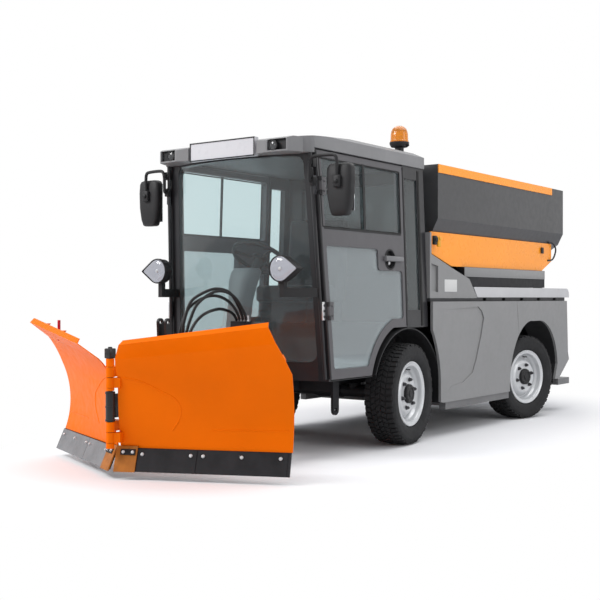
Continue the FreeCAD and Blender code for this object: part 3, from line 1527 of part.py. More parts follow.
def plough_frame():
    """Swing frame: the hinge column, its spine and the plates that take the links."""
    pieces = [rod(Vec(0, plough_hinge_y, column_low_z), Vec(0, plough_hinge_y, column_top_z), column_radius),
              rod(Vec(0, plough_hinge_y, sleeve_low_z), Vec(0, plough_hinge_y, sleeve_top_z), sleeve_radius)]
    pieces.append(box(-spine_neck_half, spine_neck_half, plough_hinge_y + column_radius, spine_neck_y,
                      spine_low_z, spine_top_z))
    pieces.append(box(-spine_half, spine_half, spine_neck_y, link_front_y - link_eye_radius * 2,
                      spine_low_z, spine_top_z))
    outer = lower_link_x + link_half_thickness + link_gap + hitch_plate
    yoke_front = link_front_y - link_eye_radius * 2
    pieces.append(box(-outer, outer, yoke_front - 2 * spine_half, yoke_front, spine_low_z - spine_half,
                      spine_top_z + spine_half))
    for side in (-1, 1):
        for middle, z in ((lower_link_x, lower_link_z), (upper_link_x, upper_link_z)):
            x = side * (middle + link_half_thickness + link_gap + hitch_plate / 2)
            pieces.append(box(x - hitch_plate / 2, x + hitch_plate / 2, yoke_front - spine_half,
                              link_front_y + link_eye_radius, z - link_eye_radius, z + link_eye_radius))
            pieces.append(rod(Vec(x, link_front_y, z),
                              Vec(side * (middle - link_half_thickness - link_gap), link_front_y, z),
                              link_pin_radius))
        foot_x = side * wing_ram_foot_x
        for z in (wing_ram_z + eye_half_width + link_gap / 2, wing_ram_z - eye_half_width - link_gap / 2
                  - lift_ear):
            ear = [(0, wing_ram_foot_y - eye_radius), (foot_x, wing_ram_foot_y - eye_radius),
                   ((foot_x + side * eye_radius, wing_ram_foot_y), (foot_x, wing_ram_foot_y + eye_radius)),
                   (0, wing_ram_foot_y + 3 * eye_radius)]
            pieces.append(prism("xy", ear, z, z + lift_ear))
        pieces.append(rod(Vec(foot_x, wing_ram_foot_y, wing_ram_z - eye_half_width - link_gap),
                          Vec(foot_x, wing_ram_foot_y, wing_ram_z + eye_half_width + link_gap), eye_bore))
    eye_y = yoke_front - 2 * spine_half
    steps = [(yoke_front - 2 * spine_half, spine_top_z), (yoke_front, spine_top_z),
             (eye_y + mast_eye_radius, mast_eye_z), ((eye_y, mast_eye_z + mast_eye_radius),
                                                     (eye_y - mast_eye_radius, mast_eye_z))]
    bore = rod(Vec(-2 * mast_half, eye_y, mast_eye_z), Vec(2 * mast_half, eye_y, mast_eye_z), mast_bore_radius)
    for side in (-1, 1):
        pieces.append(plate_yz(steps, side * mast_half, hitch_plate / 2).cut(bore))
    return union(pieces)


def wing_ram():
    """Left wing's ram from the frame to the wing, at rest."""
    angle = math.radians(plough_sweep_deg)
    t, n = wing_ram_eye_t, wing_ram_eye_n
    eye = Vec(t * math.cos(angle) + n * math.sin(angle), plough_hinge_y + t * math.sin(angle)
              - n * math.cos(angle), wing_ram_z)
    foot = Vec(wing_ram_foot_x, wing_ram_foot_y, wing_ram_z)
    return ram(foot, eye, wing_ram_closed, Vec(0, 0, 1))


def lift_ram():
    foot = Vec(0, lift_foot_y, lift_foot_z)
    eye = Vec(0, lift_eye_y, lift_eye_z)
    return ram(foot, eye, lift_ram_closed, Vec(1, 0, 0))


def middle_y(nodes):
    """Halfway between the plough's brow and the spreading disc's rear."""
    front = min(piece.optimalBoundingBox().YMin for piece in nodes["wing_left"])
    return (front + disc_centre_y + disc_radius) / 2


def build():
    """All pieces by node name, in the front axle's frame."""
    nodes = {"chassis_rails": chassis_rails(), "cross_members": cross_members(), "bed_frame": bed_frame(),
             "engine": [engine()], "tanks": tanks(),
             "front_axle": [axle(0, rail_low_z)], "rear_axle": [axle(wheelbase, rail_low_z)]}
    corners = (("front_left", 1, 0, front_steer_deg), ("front_right", -1, 0, front_steer_deg),
               ("rear_left", 1, wheelbase, rear_steer_deg), ("rear_right", -1, wheelbase, rear_steer_deg))
    for name, side, axle_y, steer in corners:
        nodes["knuckle_" + name] = [place_wheel(knuckle(), side, axle_y, steer, 0)]
        nodes["rim_" + name] = [place_wheel(rim(), side, axle_y, steer, wheel_offset_x)]
        nodes["tyre_" + name] = [place_wheel(tyre(), side, axle_y, steer, wheel_offset_x)]
    nodes["cab_frame"] = [cab_frame()]
    nodes["cab_glazing"] = [windscreen()] + cab_windows()
    nodes["roof"] = [roof()]
    left_door = door()
    left_glass = door_glass()
    nodes["door_left"] = [left_door]
    nodes["door_right"] = [mirrored(left_door)]
    nodes["door_glass_left"] = left_glass
    nodes["door_glass_right"] = [mirrored(pane) for pane in left_glass]
    nodes["plate_board"] = [plate_board()]
    rear_body, rear_lens = rear_lamp(0, rear_lamp_depth, 0), rear_lamp(rear_lamp_depth, rear_lamp_depth
                                                                       + lens_thickness, door_gap)
    nodes["lamp_housings"] = (both_sides(headlamp_body()) + both_sides(work_lamp_body()) + [beacon_base()]
                              + both_sides(rear_body))
    nodes["lamp_lenses"] = both_sides(headlamp_lens()) + both_sides(work_lamp_lens()) + both_sides(rear_lens)
    nodes["beacon_lens"] = [beacon_lens()]
    nodes["mirrors"] = both_sides(door_mirror())
    nodes["seat"] = [seat_base()] + seat_cushions()
    nodes["steering_console"] = [console()]
    nodes["steering_wheel"] = [steering_wheel()]
    nodes["side_panels"] = both_sides(side_panel()) + both_sides(rear_fender()) + both_sides(fin_cover())
    nodes["wheel_liners"] = both_sides(front_liner()) + both_sides(rear_liner())
    nodes["drop_sides"] = both_sides(drop_side())
    nodes["load_bed"] = [load_bed()]
    nodes["rear_panel"] = [rear_panel()]
    nodes["guard_rails"] = guard_rails()
    nodes["hopper"] = [hopper()]
    nodes["hopper_trim"] = both_sides(hopper_bands()) + both_sides(hopper_skirt())
    nodes["spreader_frame"] = [spreader_frame()]
    nodes["spreader_chute"] = chute()
    nodes["spreader_disc"] = [spinner()]
    nodes["front_hitch"] = [front_hitch()]
    nodes["lower_links"] = [lower_links()]
    nodes["upper_links"] = upper_links()
    barrel, piston = lift_ram()
    nodes["lift_ram_barrel"] = [barrel]
    nodes["lift_ram_rod"] = [piston]
    nodes["plough_frame"] = [plough_frame()]
    nodes["wing_left"] = [place_wing(wing(left_knuckles), 1)]
    nodes["wing_right"] = [place_wing(wing(right_knuckles), -1)]
    nodes["cutting_edge_left"] = [place_wing(cutting_edge(), 1)]
    nodes["cutting_edge_right"] = [place_wing(cutting_edge(), -1)]
    barrel, piston = wing_ram()
    nodes["wing_ram_barrel_left"] = [barrel]
    nodes["wing_ram_rod_left"] = [piston]
    nodes["wing_ram_barrel_right"] = [mirrored(barrel)]
    nodes["wing_ram_rod_right"] = [mirrored(piston)]
    return nodes


def save(nodes):
    os.makedirs("parts", exist_ok=True)
    shift = Vec(0, -middle_y(nodes), 0)
    for name, pieces in nodes.items():
        solids = [solid for piece in pieces for solid in piece.Solids]
        shape = solids[0].copy() if len(solids) == 1 else Part.makeCompound(solids)
        shape.translate(shift)
        shape.exportStep("parts/" + name + ".step")


nodes = build()
save(nodes)
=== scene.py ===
import json
import math

import bmesh
import bpy
from mathutils import Matrix, Vector

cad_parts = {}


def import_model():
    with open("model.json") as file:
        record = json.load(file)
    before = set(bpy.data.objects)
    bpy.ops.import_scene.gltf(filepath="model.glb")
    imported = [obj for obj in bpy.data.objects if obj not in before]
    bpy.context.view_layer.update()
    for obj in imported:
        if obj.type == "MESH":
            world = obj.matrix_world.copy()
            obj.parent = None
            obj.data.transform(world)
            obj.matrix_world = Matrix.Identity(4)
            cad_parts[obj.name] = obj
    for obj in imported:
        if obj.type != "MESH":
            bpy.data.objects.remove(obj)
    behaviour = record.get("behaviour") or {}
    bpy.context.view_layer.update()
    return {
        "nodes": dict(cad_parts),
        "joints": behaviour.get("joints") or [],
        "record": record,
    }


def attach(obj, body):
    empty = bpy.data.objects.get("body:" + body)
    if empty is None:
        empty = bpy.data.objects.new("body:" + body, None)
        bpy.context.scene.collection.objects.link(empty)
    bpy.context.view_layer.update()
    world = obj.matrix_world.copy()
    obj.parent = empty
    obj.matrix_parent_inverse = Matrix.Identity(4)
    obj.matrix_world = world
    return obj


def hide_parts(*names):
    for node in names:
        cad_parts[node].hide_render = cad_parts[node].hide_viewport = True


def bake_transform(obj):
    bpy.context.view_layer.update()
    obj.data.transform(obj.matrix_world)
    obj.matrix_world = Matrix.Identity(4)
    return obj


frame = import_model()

# Looks of a compact implement carrier with a V snow plough and a gritting hopper.
# Sizes are millimetres in the vehicle's own frame: X to its left, Y to its rear from the
# front axle, Z up from the ground. at() turns them into the scene's metres.

MM = 0.001
NEARLY_UPRIGHT = 0.98
joints = {joint["name"]: joint for joint in frame["joints"]}
record = frame["record"]
axle_shift = joints["steer_front_left"]["pos_m"][1]
SIDES = ((1, "left"), (-1, "right"))
BOX_FACES = ((0, 1, 3, 2), (4, 6, 7, 5), (0, 4, 5, 1), (2, 3, 7, 6), (1, 5, 7, 3), (0, 2, 6, 4))


def at(x, y, z):
    return Vector((x * MM, y * MM + axle_shift, z * MM))


# Shape building

def frame_along(direction):
    """Rotation whose Z runs along the direction."""
    z_axis = Vector(direction).normalized()
    hint = Vector((0, 0, 1))
    if abs(z_axis.z) > NEARLY_UPRIGHT:
        hint = Vector((0, 1, 0))
    x_axis = hint.cross(z_axis).normalized()
    y_axis = z_axis.cross(x_axis)
    return Matrix((x_axis, y_axis, z_axis)).transposed().to_4x4()


def smooth_path(points, steps):
    """Points of a smooth curve through all the given ones."""
    points = [Vector(p) for p in points]
    padded = [2 * points[0] - points[1]] + points + [2 * points[-1] - points[-2]]
    path = []
    for i in range(len(points) - 1):
        a, b, c, d = padded[i:i + 4]
        for k in range(steps):
            u = k / steps
            path.append(0.5 * (2 * b + (c - a) * u + (2 * a - 5 * b + 4 * c - d) * u * u
                               + (3 * b - a - 3 * c + d) * u ** 3))
    path.append(points[-1])
    return path


class Shape:
    """Collects solids in millimetres and becomes one piece of the scene."""

    def __init__(self):
        self.mesh = bmesh.new()

    def merge(self, verts, faces, matrix=None):
        made = []
        for v in verts:
            place = Vector(v)
            made.append(self.mesh.verts.new(matrix @ place if matrix else place))
        for face in faces:
            corners = [made[i] for i in face]
            if len(set(corners)) > 2:
                self.mesh.faces.new(corners)
        return self

    def absorb(self, other):
        """Takes over a small bmesh and frees it."""
        other.verts.index_update()
        self.merge([v.co.copy() for v in other.verts], [[v.index for v in f.verts] for f in other.faces])
        other.free()
        return self

    def block(self, low, high, bevel=0, segments=2):
        """Box between two corners, with rounded edges."""
        low, high = Vector(low), Vector(high)
        small = bmesh.new()
        bmesh.ops.create_cube(small, size=1)
        for v in small.verts:
            v.co = Vector(((low[i] + high[i]) / 2 + v.co[i] * (high[i] - low[i]) for i in range(3)))
        if bevel:
            bmesh.ops.bevel(small, geom=small.edges[:], offset=bevel, segments=segments, affect="EDGES", profile=0.5)
        return self.absorb(small)

    def lathe(self, profile, origin, axis, segments=32, closed=True):
        """Outline of (along, radius) points turned about an axis through the origin."""
        turn = Matrix.Translation(Vector(origin)) @ frame_along(axis)
        verts, faces = [], []
        count = len(profile)
        for s in range(segments):
            angle = math.tau * s / segments
            for along, radius in profile:
                verts.append((radius * math.cos(angle), radius * math.sin(angle), along))
        last = count if closed else count - 1
        for s in range(segments):
            n = (s + 1) % segments
            for i in range(last):
                j = (i + 1) % count
                faces.append((s * count + i, s * count + j, n * count + j, n * count + i))
        small = bmesh.new()
        made = [small.verts.new(turn @ Vector(v)) for v in verts]
        for face in faces:
            small.faces.new([made[i] for i in face])
        bmesh.ops.remove_doubles(small, verts=small.verts[:], dist=1e-4)
        bmesh.ops.recalc_face_normals(small, faces=small.faces[:])
        return self.absorb(small)

    def rod(self, start, end, radius, segments=20, bevel=0):
        """Round bar with bevelled ends."""
        start, end = Vector(start), Vector(end)
        length = (end - start).length
        if bevel:
            profile = [(0, 0), (0, radius - bevel), (bevel, radius), (length - bevel, radius),
                       (length, radius - bevel), (length, 0)]
        else:
            profile = [(0, 0), (0, radius), (length, radius), (length, 0)]
        return self.lathe(profile, start, end - start, segments, closed=False)

    def tube(self, points, radius, segments=12, steps=8, smooth=True):
        """Round bar bent along a smooth curve."""
        path = smooth_path(points, steps) if smooth else [Vector(p) for p in points]
        verts, faces = [], []
        side = None
        for i, p in enumerate(path):
            before, after = path[max(i - 1, 0)], path[min(i + 1, len(path) - 1)]
            tangent = (after - before).normalized()
            if side is None:
                side = tangent.orthogonal().normalized()
            side = (side - tangent * side.dot(tangent)).normalized()
            up = tangent.cross(side)
            for s in range(segments):
                angle = math.tau * s / segments
                verts.append(p + (side * math.cos(angle) + up * math.sin(angle)) * radius)
        for i in range(len(path) - 1):
            for s in range(segments):
                n = (s + 1) % segments
                faces.append((i * segments + s, i * segments + n, (i + 1) * segments + n, (i + 1) * segments + s))
        faces.append(tuple(reversed(range(segments))))
        end = (len(path) - 1) * segments
        faces.append(tuple(end + s for s in range(segments)))
        return self.merge(verts, faces)

    def bolt(self, place, axis, size=17.0, height=9.0, washer=2.5):
        """Hexagon head on a washer, standing along the axis."""
        turn = Matrix.Translation(Vector(place)) @ frame_along(axis)
        self.lathe([(0, 0), (0, size * 0.68), (washer, size * 0.68), (washer, 0)], place, axis, 18, closed=False)
        ring = size / math.sqrt(3)
        verts, faces = [], []
        for level, scale in ((washer, 1.0), (washer + height * 0.8, 1.0), (washer + height, 0.86)):
            verts += [(ring * scale * math.cos(math.tau * k / 6), ring * scale * math.sin(math.tau * k / 6), level)
                      for k in range(6)]
        for level in range(2):
            for k in range(6):
                n = (k + 1) % 6
                faces.append((level * 6 + k, level * 6 + n, level * 6 + 6 + n, level * 6 + 6 + k))
        faces.append(tuple(range(12, 18)))
        return self.merge(verts, faces, turn)

    def loft(self, rings, capped=True):
        """Skin through rings of equal counts of points."""
        count = len(rings[0])
        verts = [p for ring in rings for p in ring]
        faces = []
        for r in range(len(rings) - 1):
            for i in range(count):
                j = (i + 1) % count
                faces.append((r * count + i, r * count + j, (r + 1) * count + j, (r + 1) * count + i))
        if capped:
            faces.append(tuple(reversed(range(count))))
            faces.append(tuple((len(rings) - 1) * count + i for i in range(count)))
        return self.merge(verts, faces)

    def piece(self, name, body, slot, look, replaces=(), sharp_deg=35):
        """Makes the scene's object: metres, normals, material and body; slot is not used."""
        bmesh.ops.recalc_face_normals(self.mesh, faces=self.mesh.faces[:])
        for v in self.mesh.verts:
            v.co = at(*v.co)
        mesh = bpy.data.meshes.new(name)
        self.mesh.to_mesh(mesh)
        self.mesh.free()
        obj = bpy.data.objects.new(name, mesh)
        bpy.context.scene.collection.objects.link(obj)
        for polygon in mesh.polygons:
            polygon.use_smooth = True
        mesh.set_sharp_from_angle(angle=math.radians(sharp_deg))
        mesh.materials.append(look)
        if body:
            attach(obj, body)
        if replaces:
            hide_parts(*replaces)
        return obj


# Materials

def new_material(name):
    material = bpy.data.materials.new(name)
    material.use_nodes = True
    return material, material.node_tree.nodes, material.node_tree.links


def set_inputs(node, **values):
    """Sets a node's inputs by name, with _ for a space."""
    for name, value in values.items():
        node.inputs[name.replace("_", " ")].default_value = value
    return node


def add(nodes, kind, operation=None, **values):
    node = nodes.new("ShaderNode" + kind)
    if operation:
        node.operation = operation
    return set_inputs(node, **values)


def noise(nodes, links, place, scale, detail=2.0):
    node = add(nodes, "TexNoise", Scale=scale, Detail=detail)
    links.new(place.outputs["Object"], node.inputs["Vector"])
    return node


def surface(name, colour, roughness, metallic=0.0, coat=0.0, coat_roughness=0.1, specular=0.24,
            tone_scale=4.0, tone=0.06, grain_scale=300.0, grain=0.02, rough_spread=0.06, sheen=0.0,
            edge_round=0.0015):
    """Principled surface with cloudy tone, uneven gloss, fine grain and softened edges."""
    material, nodes, links = new_material(name)
    shader = set_inputs(nodes["Principled BSDF"], Metallic=metallic, Coat_Weight=coat, Coat_Roughness=coat_roughness,
                        Specular_IOR_Level=specular, Sheen_Weight=sheen)
    place = add(nodes, "TexCoord")

    cloud = noise(nodes, links, place, tone_scale, 4.0)
    ramp = add(nodes, "ValToRGB")
    dark = [c * (1 - tone) for c in colour]
    light_tone = [min(c * (1 + tone), 1.0) for c in colour]
    for element, position, tint in zip(ramp.color_ramp.elements, (0.3, 0.7), (dark, light_tone)):
        element.position = position
        element.color = tint + [1]
    links.new(cloud.outputs["Fac"], ramp.inputs["Fac"])
    links.new(ramp.outputs["Color"], shader.inputs["Base Color"])

    smear = noise(nodes, links, place, tone_scale * 6, 6.0)
    gloss = add(nodes, "MapRange", From_Min=0.3, From_Max=0.7, To_Min=max(roughness - rough_spread, 0.02),
                To_Max=min(roughness + rough_spread, 1.0))
    links.new(smear.outputs["Fac"], gloss.inputs["Value"])
    links.new(gloss.outputs["Result"], shader.inputs["Roughness"])

    fine = noise(nodes, links, place, grain_scale)
    bump = add(nodes, "Bump", Strength=grain, Distance=0.001)
    links.new(fine.outputs["Fac"], bump.inputs["Height"])
    if edge_round:
        bevel = add(nodes, "Bevel", Radius=edge_round)
        bevel.samples = 4
        links.new(bevel.outputs["Normal"], bump.inputs["Normal"])
    links.new(bump.outputs["Normal"], shader.inputs["Normal"])
    return material


def clear_glass(name, tint, index, haze=0.02, dust_and_reflection_veil=0.0):
    """Thin pane: tinted see-through, with the studio in its front face and a pale diffuse veil, dust on the cab glass
    and painted reflection on the doors' lower panes.
    """
    material, nodes, links = new_material(name)
    nodes.remove(nodes["Principled BSDF"])
    see = add(nodes, "BsdfTransparent", Color=list(tint) + [1])
    gloss = add(nodes, "BsdfGlossy", Roughness=haze)
    fresnel = add(nodes, "Fresnel", IOR=index)
    ripple = noise(nodes, links, add(nodes, "TexCoord"), 1.6)
    bump = add(nodes, "Bump", Strength=0.02, Distance=0.02)
    links.new(ripple.outputs["Fac"], bump.inputs["Height"])
    links.new(bump.outputs["Normal"], gloss.inputs["Normal"])
    front = add(nodes, "Math", "SUBTRACT")
    front.inputs[0].default_value = 1.0
    links.new(add(nodes, "NewGeometry").outputs["Backfacing"], front.inputs[1])
    gate = add(nodes, "Math", "MULTIPLY")
    links.new(fresnel.outputs["Fac"], gate.inputs[0])
    links.new(front.outputs["Value"], gate.inputs[1])
    last = add(nodes, "MixShader")
    links.new(gate.outputs["Value"], last.inputs["Fac"])
    links.new(see.outputs["BSDF"], last.inputs[1])
    links.new(gloss.outputs["BSDF"], last.inputs[2])
    # Pale diffuse layer over the pane: dust, and on the lower panes painted reflection.
    if dust_and_reflection_veil:
        dust_and_painted_reflection = add(nodes, "BsdfDiffuse", Color=(0.62, 0.66, 0.67, 1))
        pane, last = last, add(nodes, "MixShader", Fac=dust_and_reflection_veil)
        links.new(pane.outputs["Shader"], last.inputs[1])
        links.new(dust_and_painted_reflection.outputs["BSDF"], last.inputs[2])
    links.new(last.outputs["Shader"], nodes["Material Output"].inputs["Surface"])
    return material


ORANGE = (0.84, 0.150, 0.0)
looks = {
    "chassis_black": surface("chassis_black", (0.016, 0.016, 0.018), 0.5, specular=0.15, tone=0.2, grain=0.06),
    "engine_iron": surface("engine_iron", (0.09, 0.09, 0.095), 0.6, metallic=0.3, grain_scale=160, grain=0.3),
    "tank_plastic": surface("tank_plastic", (0.02, 0.02, 0.022), 0.5, grain=0.1),
    "cab_black": surface("cab_black", (0.018, 0.018, 0.020), 0.36, coat=0.3, tone=0.15),
    "door_grey": surface("door_grey", (0.09, 0.087, 0.092), 0.42, coat=0.15, grain_scale=500, grain=0.04),
    "roof_grey": surface("roof_grey", (0.20, 0.20, 0.203), 0.45, grain_scale=700, grain=0.10),
    "plate_white": surface("plate_white", (0.56, 0.56, 0.58), 0.3, coat=0.4, tone=0.02),
    "black_plastic": surface("black_plastic", (0.017, 0.017, 0.018), 0.48, tone=0.12, grain_scale=900, grain=0.15),
    "seat_cloth": surface("seat_cloth", (0.022, 0.022, 0.024), 0.9, sheen=0.3, tone=0.2, grain_scale=1200,
                          grain=0.5, edge_round=0),
    "console_grey": surface("console_grey", (0.20, 0.205, 0.21), 0.5, grain_scale=900, grain=0.12),
    "grip_black": surface("grip_black", (0.012, 0.012, 0.012), 0.55, grain_scale=900, grain=0.2),
    "body_grey": surface("body_grey", (0.215, 0.215, 0.215), 0.42, coat=0.12, coat_roughness=0.25,
                         grain_scale=800, grain=0.05, tone=0.03),
    "board_grey": surface("board_grey", (0.47, 0.47, 0.48), 0.4, coat=0.1, tone=0.03),
    "bed_steel": surface("bed_steel", (0.03, 0.03, 0.032), 0.55, tone=0.2, grain=0.08),
    "hopper_steel": surface("hopper_steel", (0.062, 0.062, 0.064), 0.36, metallic=0.25, specular=0.3,
                            grain_scale=420, grain=0.06, tone=0.05),
    "orange_paint": surface("orange_paint", ORANGE, 0.42, coat=0.0, specular=0.05, tone=0.03,
                            grain_scale=260, grain=0.03),
    "plough_black": surface("plough_black", (0.014, 0.014, 0.015), 0.42, coat=0.2, tone=0.2),
    "edge_steel": surface("edge_steel", (0.021, 0.021, 0.023), 0.5, specular=0.12, tone=0.25, tone_scale=9,
                          grain_scale=120, grain=0.25, rough_spread=0.12),
    "ram_black": surface("ram_black", (0.012, 0.012, 0.013), 0.25, coat=0.5),
    "ram_chrome": surface("ram_chrome", (0.72, 0.73, 0.75), 0.12, metallic=1.0, tone=0.02),
    "wheel_silver": surface("wheel_silver", (0.55, 0.56, 0.57), 0.34, metallic=0.35, coat=0.2, tone=0.05,
                            grain_scale=600, grain=0.04),
    "tyre_rubber": surface("tyre_rubber", (0.016, 0.016, 0.017), 0.72, tone=0.25, tone_scale=7,
                           grain_scale=500, grain=0.25, edge_round=0),
    "cab_glass": clear_glass("cab_glass", (0.885, 0.94, 0.945), 1.5, dust_and_reflection_veil=0.035),
    "lamp_glass": clear_glass("lamp_glass", (0.97, 0.98, 0.99), 1.5, 0.01),
}


def amber_glass():
    """Moulded amber: clear to the light, deep in colour."""
    material = surface("amber", (0.80, 0.26, 0.004), 0.14, coat=0.3, tone=0.04, grain=0.01)
    set_inputs(material.node_tree.nodes["Principled BSDF"], Transmission_Weight=0.55, IOR=1.42)
    return material


looks["amber"] = amber_glass()
trim = {
    "rubber_seal": surface("rubber_seal", (0.010, 0.010, 0.010), 0.6, grain=0.1),
    "zinc": surface("zinc", (0.55, 0.55, 0.56), 0.32, metallic=0.9, tone=0.1, tone_scale=30),
    "mirror_glass": surface("mirror_glass", (0.8, 0.82, 0.84), 0.02, metallic=1.0, tone=0.0, grain=0.0,
                            rough_spread=0.0),
    "reflector": surface("reflector", (0.46, 0.46, 0.50), 0.22, metallic=1.0, tone=0.0, grain=0.0),
    "flap_brown": surface("flap_brown", (0.36, 0.12, 0.012), 0.5, tone=0.18, tone_scale=18, grain=0.15),
    # Pale grey copy of the edge steel: painted light for the right wing's lit blades.
    "painted_lit_edge_steel": surface("painted_lit_edge_steel", (0.20, 0.205, 0.215), 0.4, metallic=0.35, tone=0.15, tone_scale=8,
                         grain_scale=120, grain=0.2),
    "marker_red": surface("marker_red", (0.55, 0.01, 0.03), 0.35, coat=0.3),
    "latch_yellow": surface("latch_yellow", (0.75, 0.33, 0.01), 0.35, coat=0.3),
    "rail_grey": surface("rail_grey", (0.15, 0.15, 0.152), 0.4),
    "band_orange": surface("band_orange", (0.90, 0.30, 0.015), 0.30, coat=0.12, specular=0.25, tone=0.03),
    # Heavy pale veil on the lower panes: painted reflection.
    "lower_pane": clear_glass("lower_pane", (0.80, 0.86, 0.87), 1.55, dust_and_reflection_veil=0.22),
    "nut_dark": surface("nut_dark", (0.07, 0.07, 0.075), 0.35, metallic=0.6, tone=0.1, tone_scale=30),
    "hose_rubber": surface("hose_rubber", (0.012, 0.012, 0.013), 0.42, coat=0.15, tone=0.2, tone_scale=12,
                           grain_scale=700, grain=0.2, edge_round=0),
    "red_lens": surface("red_lens", (0.55, 0.01, 0.01), 0.12, coat=0.7, tone=0.05),
    "label_blank": surface("label_blank", (0.55, 0.55, 0.54), 0.35, tone=0.03, edge_round=0.0005),
    "handle_grey": surface("handle_grey", (0.16, 0.16, 0.165), 0.4, coat=0.2, grain_scale=800, grain=0.06),
}


def dress_nodes():
    """Gives every CAD node the look of its material slot."""
    for subpart in record["subparts"]:
        obj = frame["nodes"][subpart["node"]]
        look = looks[subpart["material_slot"]]
        if not obj.material_slots:
            obj.data.materials.append(look)
        for place in obj.material_slots:
            place.material = look


def warm_band():
    """Looks of their own for the hopper's orange sheets and the rails."""
    for node, look in (("hopper_trim", "band_orange"), ("guard_rails", "rail_grey")):
        for place in frame["nodes"][node].material_slots:
            place.material = trim[look]


LOWER_PANE_TOP = 1.36


def tint_lower_panes():
    """The doors' lower panes take a heavier pale veil than the upper ones: painted reflection."""
    for _side, name in SIDES:
        mesh = frame["nodes"]["door_glass_" + name].data
        mesh.materials.append(trim["lower_pane"])
        for polygon in mesh.polygons:
            middle = sum((mesh.vertices[i].co.z for i in polygon.vertices), 0.0) / len(polygon.vertices)
            if middle < LOWER_PANE_TOP:
                polygon.material_index = len(mesh.materials) - 1


# Wheels
TYRE_RADIUS = 343.0
TREAD_HALF = 92.0
TREAD_DEPTH = 9.0
BEAD_HALF = 80.0
CORNERS = ("front_left", "front_right", "rear_left", "rear_right")


def wheel_matrix(corner):
    """Wheel's own frame: X outward, the tread turning about it."""
    joint = joints["spin_" + corner]
    outward = Vector(joint["axis"])
    if corner.endswith("right"):
        outward = -outward
    up = Vector((0, 0, 1))
    ahead = up.cross(outward)
    turn = Matrix((outward, ahead, up)).transposed().to_4x4()
    x, y, z = joint["pos_m"]
    centre = Vector((x, y - axle_shift, z)) / MM
    return Matrix.Translation(centre) @ turn


def crown(x):
    """Radius of the tread at a distance x from the tyre's middle."""
    return TYRE_RADIUS - 6.0 * (x / TREAD_HALF) ** 2


def tread_block(shape, turn, x_low, x_high, angle_low, angle_high, skew):
    """One lug between two angles; skew slants it."""
    verts = []
    for depth, inset in ((TREAD_DEPTH, 0.0), (1.6, 0.0), (0.0, 1.6)):
        for x, share in ((x_low + inset, 0.0), (x_high - inset, 1.0)):
            radius = crown(x) - depth
            inset_angle = inset / TYRE_RADIUS
            shift = skew * share
            for angle in (angle_low + inset_angle, angle_high - inset_angle):
                turned = angle + shift
                verts.append((x, radius * math.sin(turned), radius * math.cos(turned)))
    faces = []
    for level in range(2):
        base = level * 4
        for a, b in ((0, 1), (1, 3), (3, 2), (2, 0)):
            faces.append((base + a, base + b, base + 4 + b, base + 4 + a))
    faces.append((8, 9, 11, 10))
    shape.merge(verts, faces, turn)


def tyre(corner):
    turn = wheel_matrix(corner)
    origin = turn @ Vector((0, 0, 0))
    axis = turn.to_3x3() @ Vector((1, 0, 0))
    flank = [(BEAD_HALF, 196.5), (BEAD_HALF, 221.0), (91.0, 226.0), (101.0, 240.0), (107.0, 256.0), (110.2, 274.0),
             (108.5, 292.0), (109.5, 296.0), (106.5, 312.0), (101.0, 324.0),
             (TREAD_HALF + 2, crown(TREAD_HALF) - TREAD_DEPTH)]
    belt = [(x, crown(x) - TREAD_DEPTH) for x in (70.0, 35.0, 0.0, -35.0, -70.0)]
    profile = flank + belt + [(-x, r) for x, r in reversed(flank)]
    shape = Shape().lathe(profile, origin, axis, 96)
    pitches = 54
    pitch = math.tau / pitches
    for k in range(pitches):
        angle = pitch * k
        for side in (-1, 1):
            wide = pitch * (0.74 if k % 2 else 0.66)
            reach = TREAD_HALF + (9.0 if k % 2 else 5.0)
            xs = sorted((side * 57.0, side * reach))
            skew = 0.010 * side
            tread_block(shape, turn, xs[0], xs[1], angle, angle + wide, skew)
            xs = sorted((side * 20.0, side * 50.0))
            tread_block(shape, turn, xs[0], xs[1], angle + pitch * 0.3, angle + pitch * 1.08, -0.045 * side)
        tread_block(shape, turn, -15.0, 15.0, angle, angle + pitch * 0.8, 0.05)
    for side in (-1, 1):
        for k in range(pitches):
            angle = pitch * (k + 0.36)
            rib_low, rib_high = sorted((side * 101.0, side * 104.5))
            direction = Vector((0, math.sin(angle), math.cos(angle)))
            tangent = Vector((0, math.cos(angle), -math.sin(angle)))
            corners = []
            for radius, outer in ((303.0, 108.4), (322.0, 103.5)):
                for shift in (-3.2, 3.2):
                    for x in (side * (outer - 6), side * (outer + 0.9)):
                        corners.append(Vector((x, 0, 0)) + direction * radius + tangent * shift)
            shape.merge(corners, BOX_FACES, turn)
    shape.piece("tyre_" + corner + "_tread", "wheel_" + corner, "tyre_rubber", looks["tyre_rubber"],
                replaces=["tyre_" + corner], sharp_deg=28)


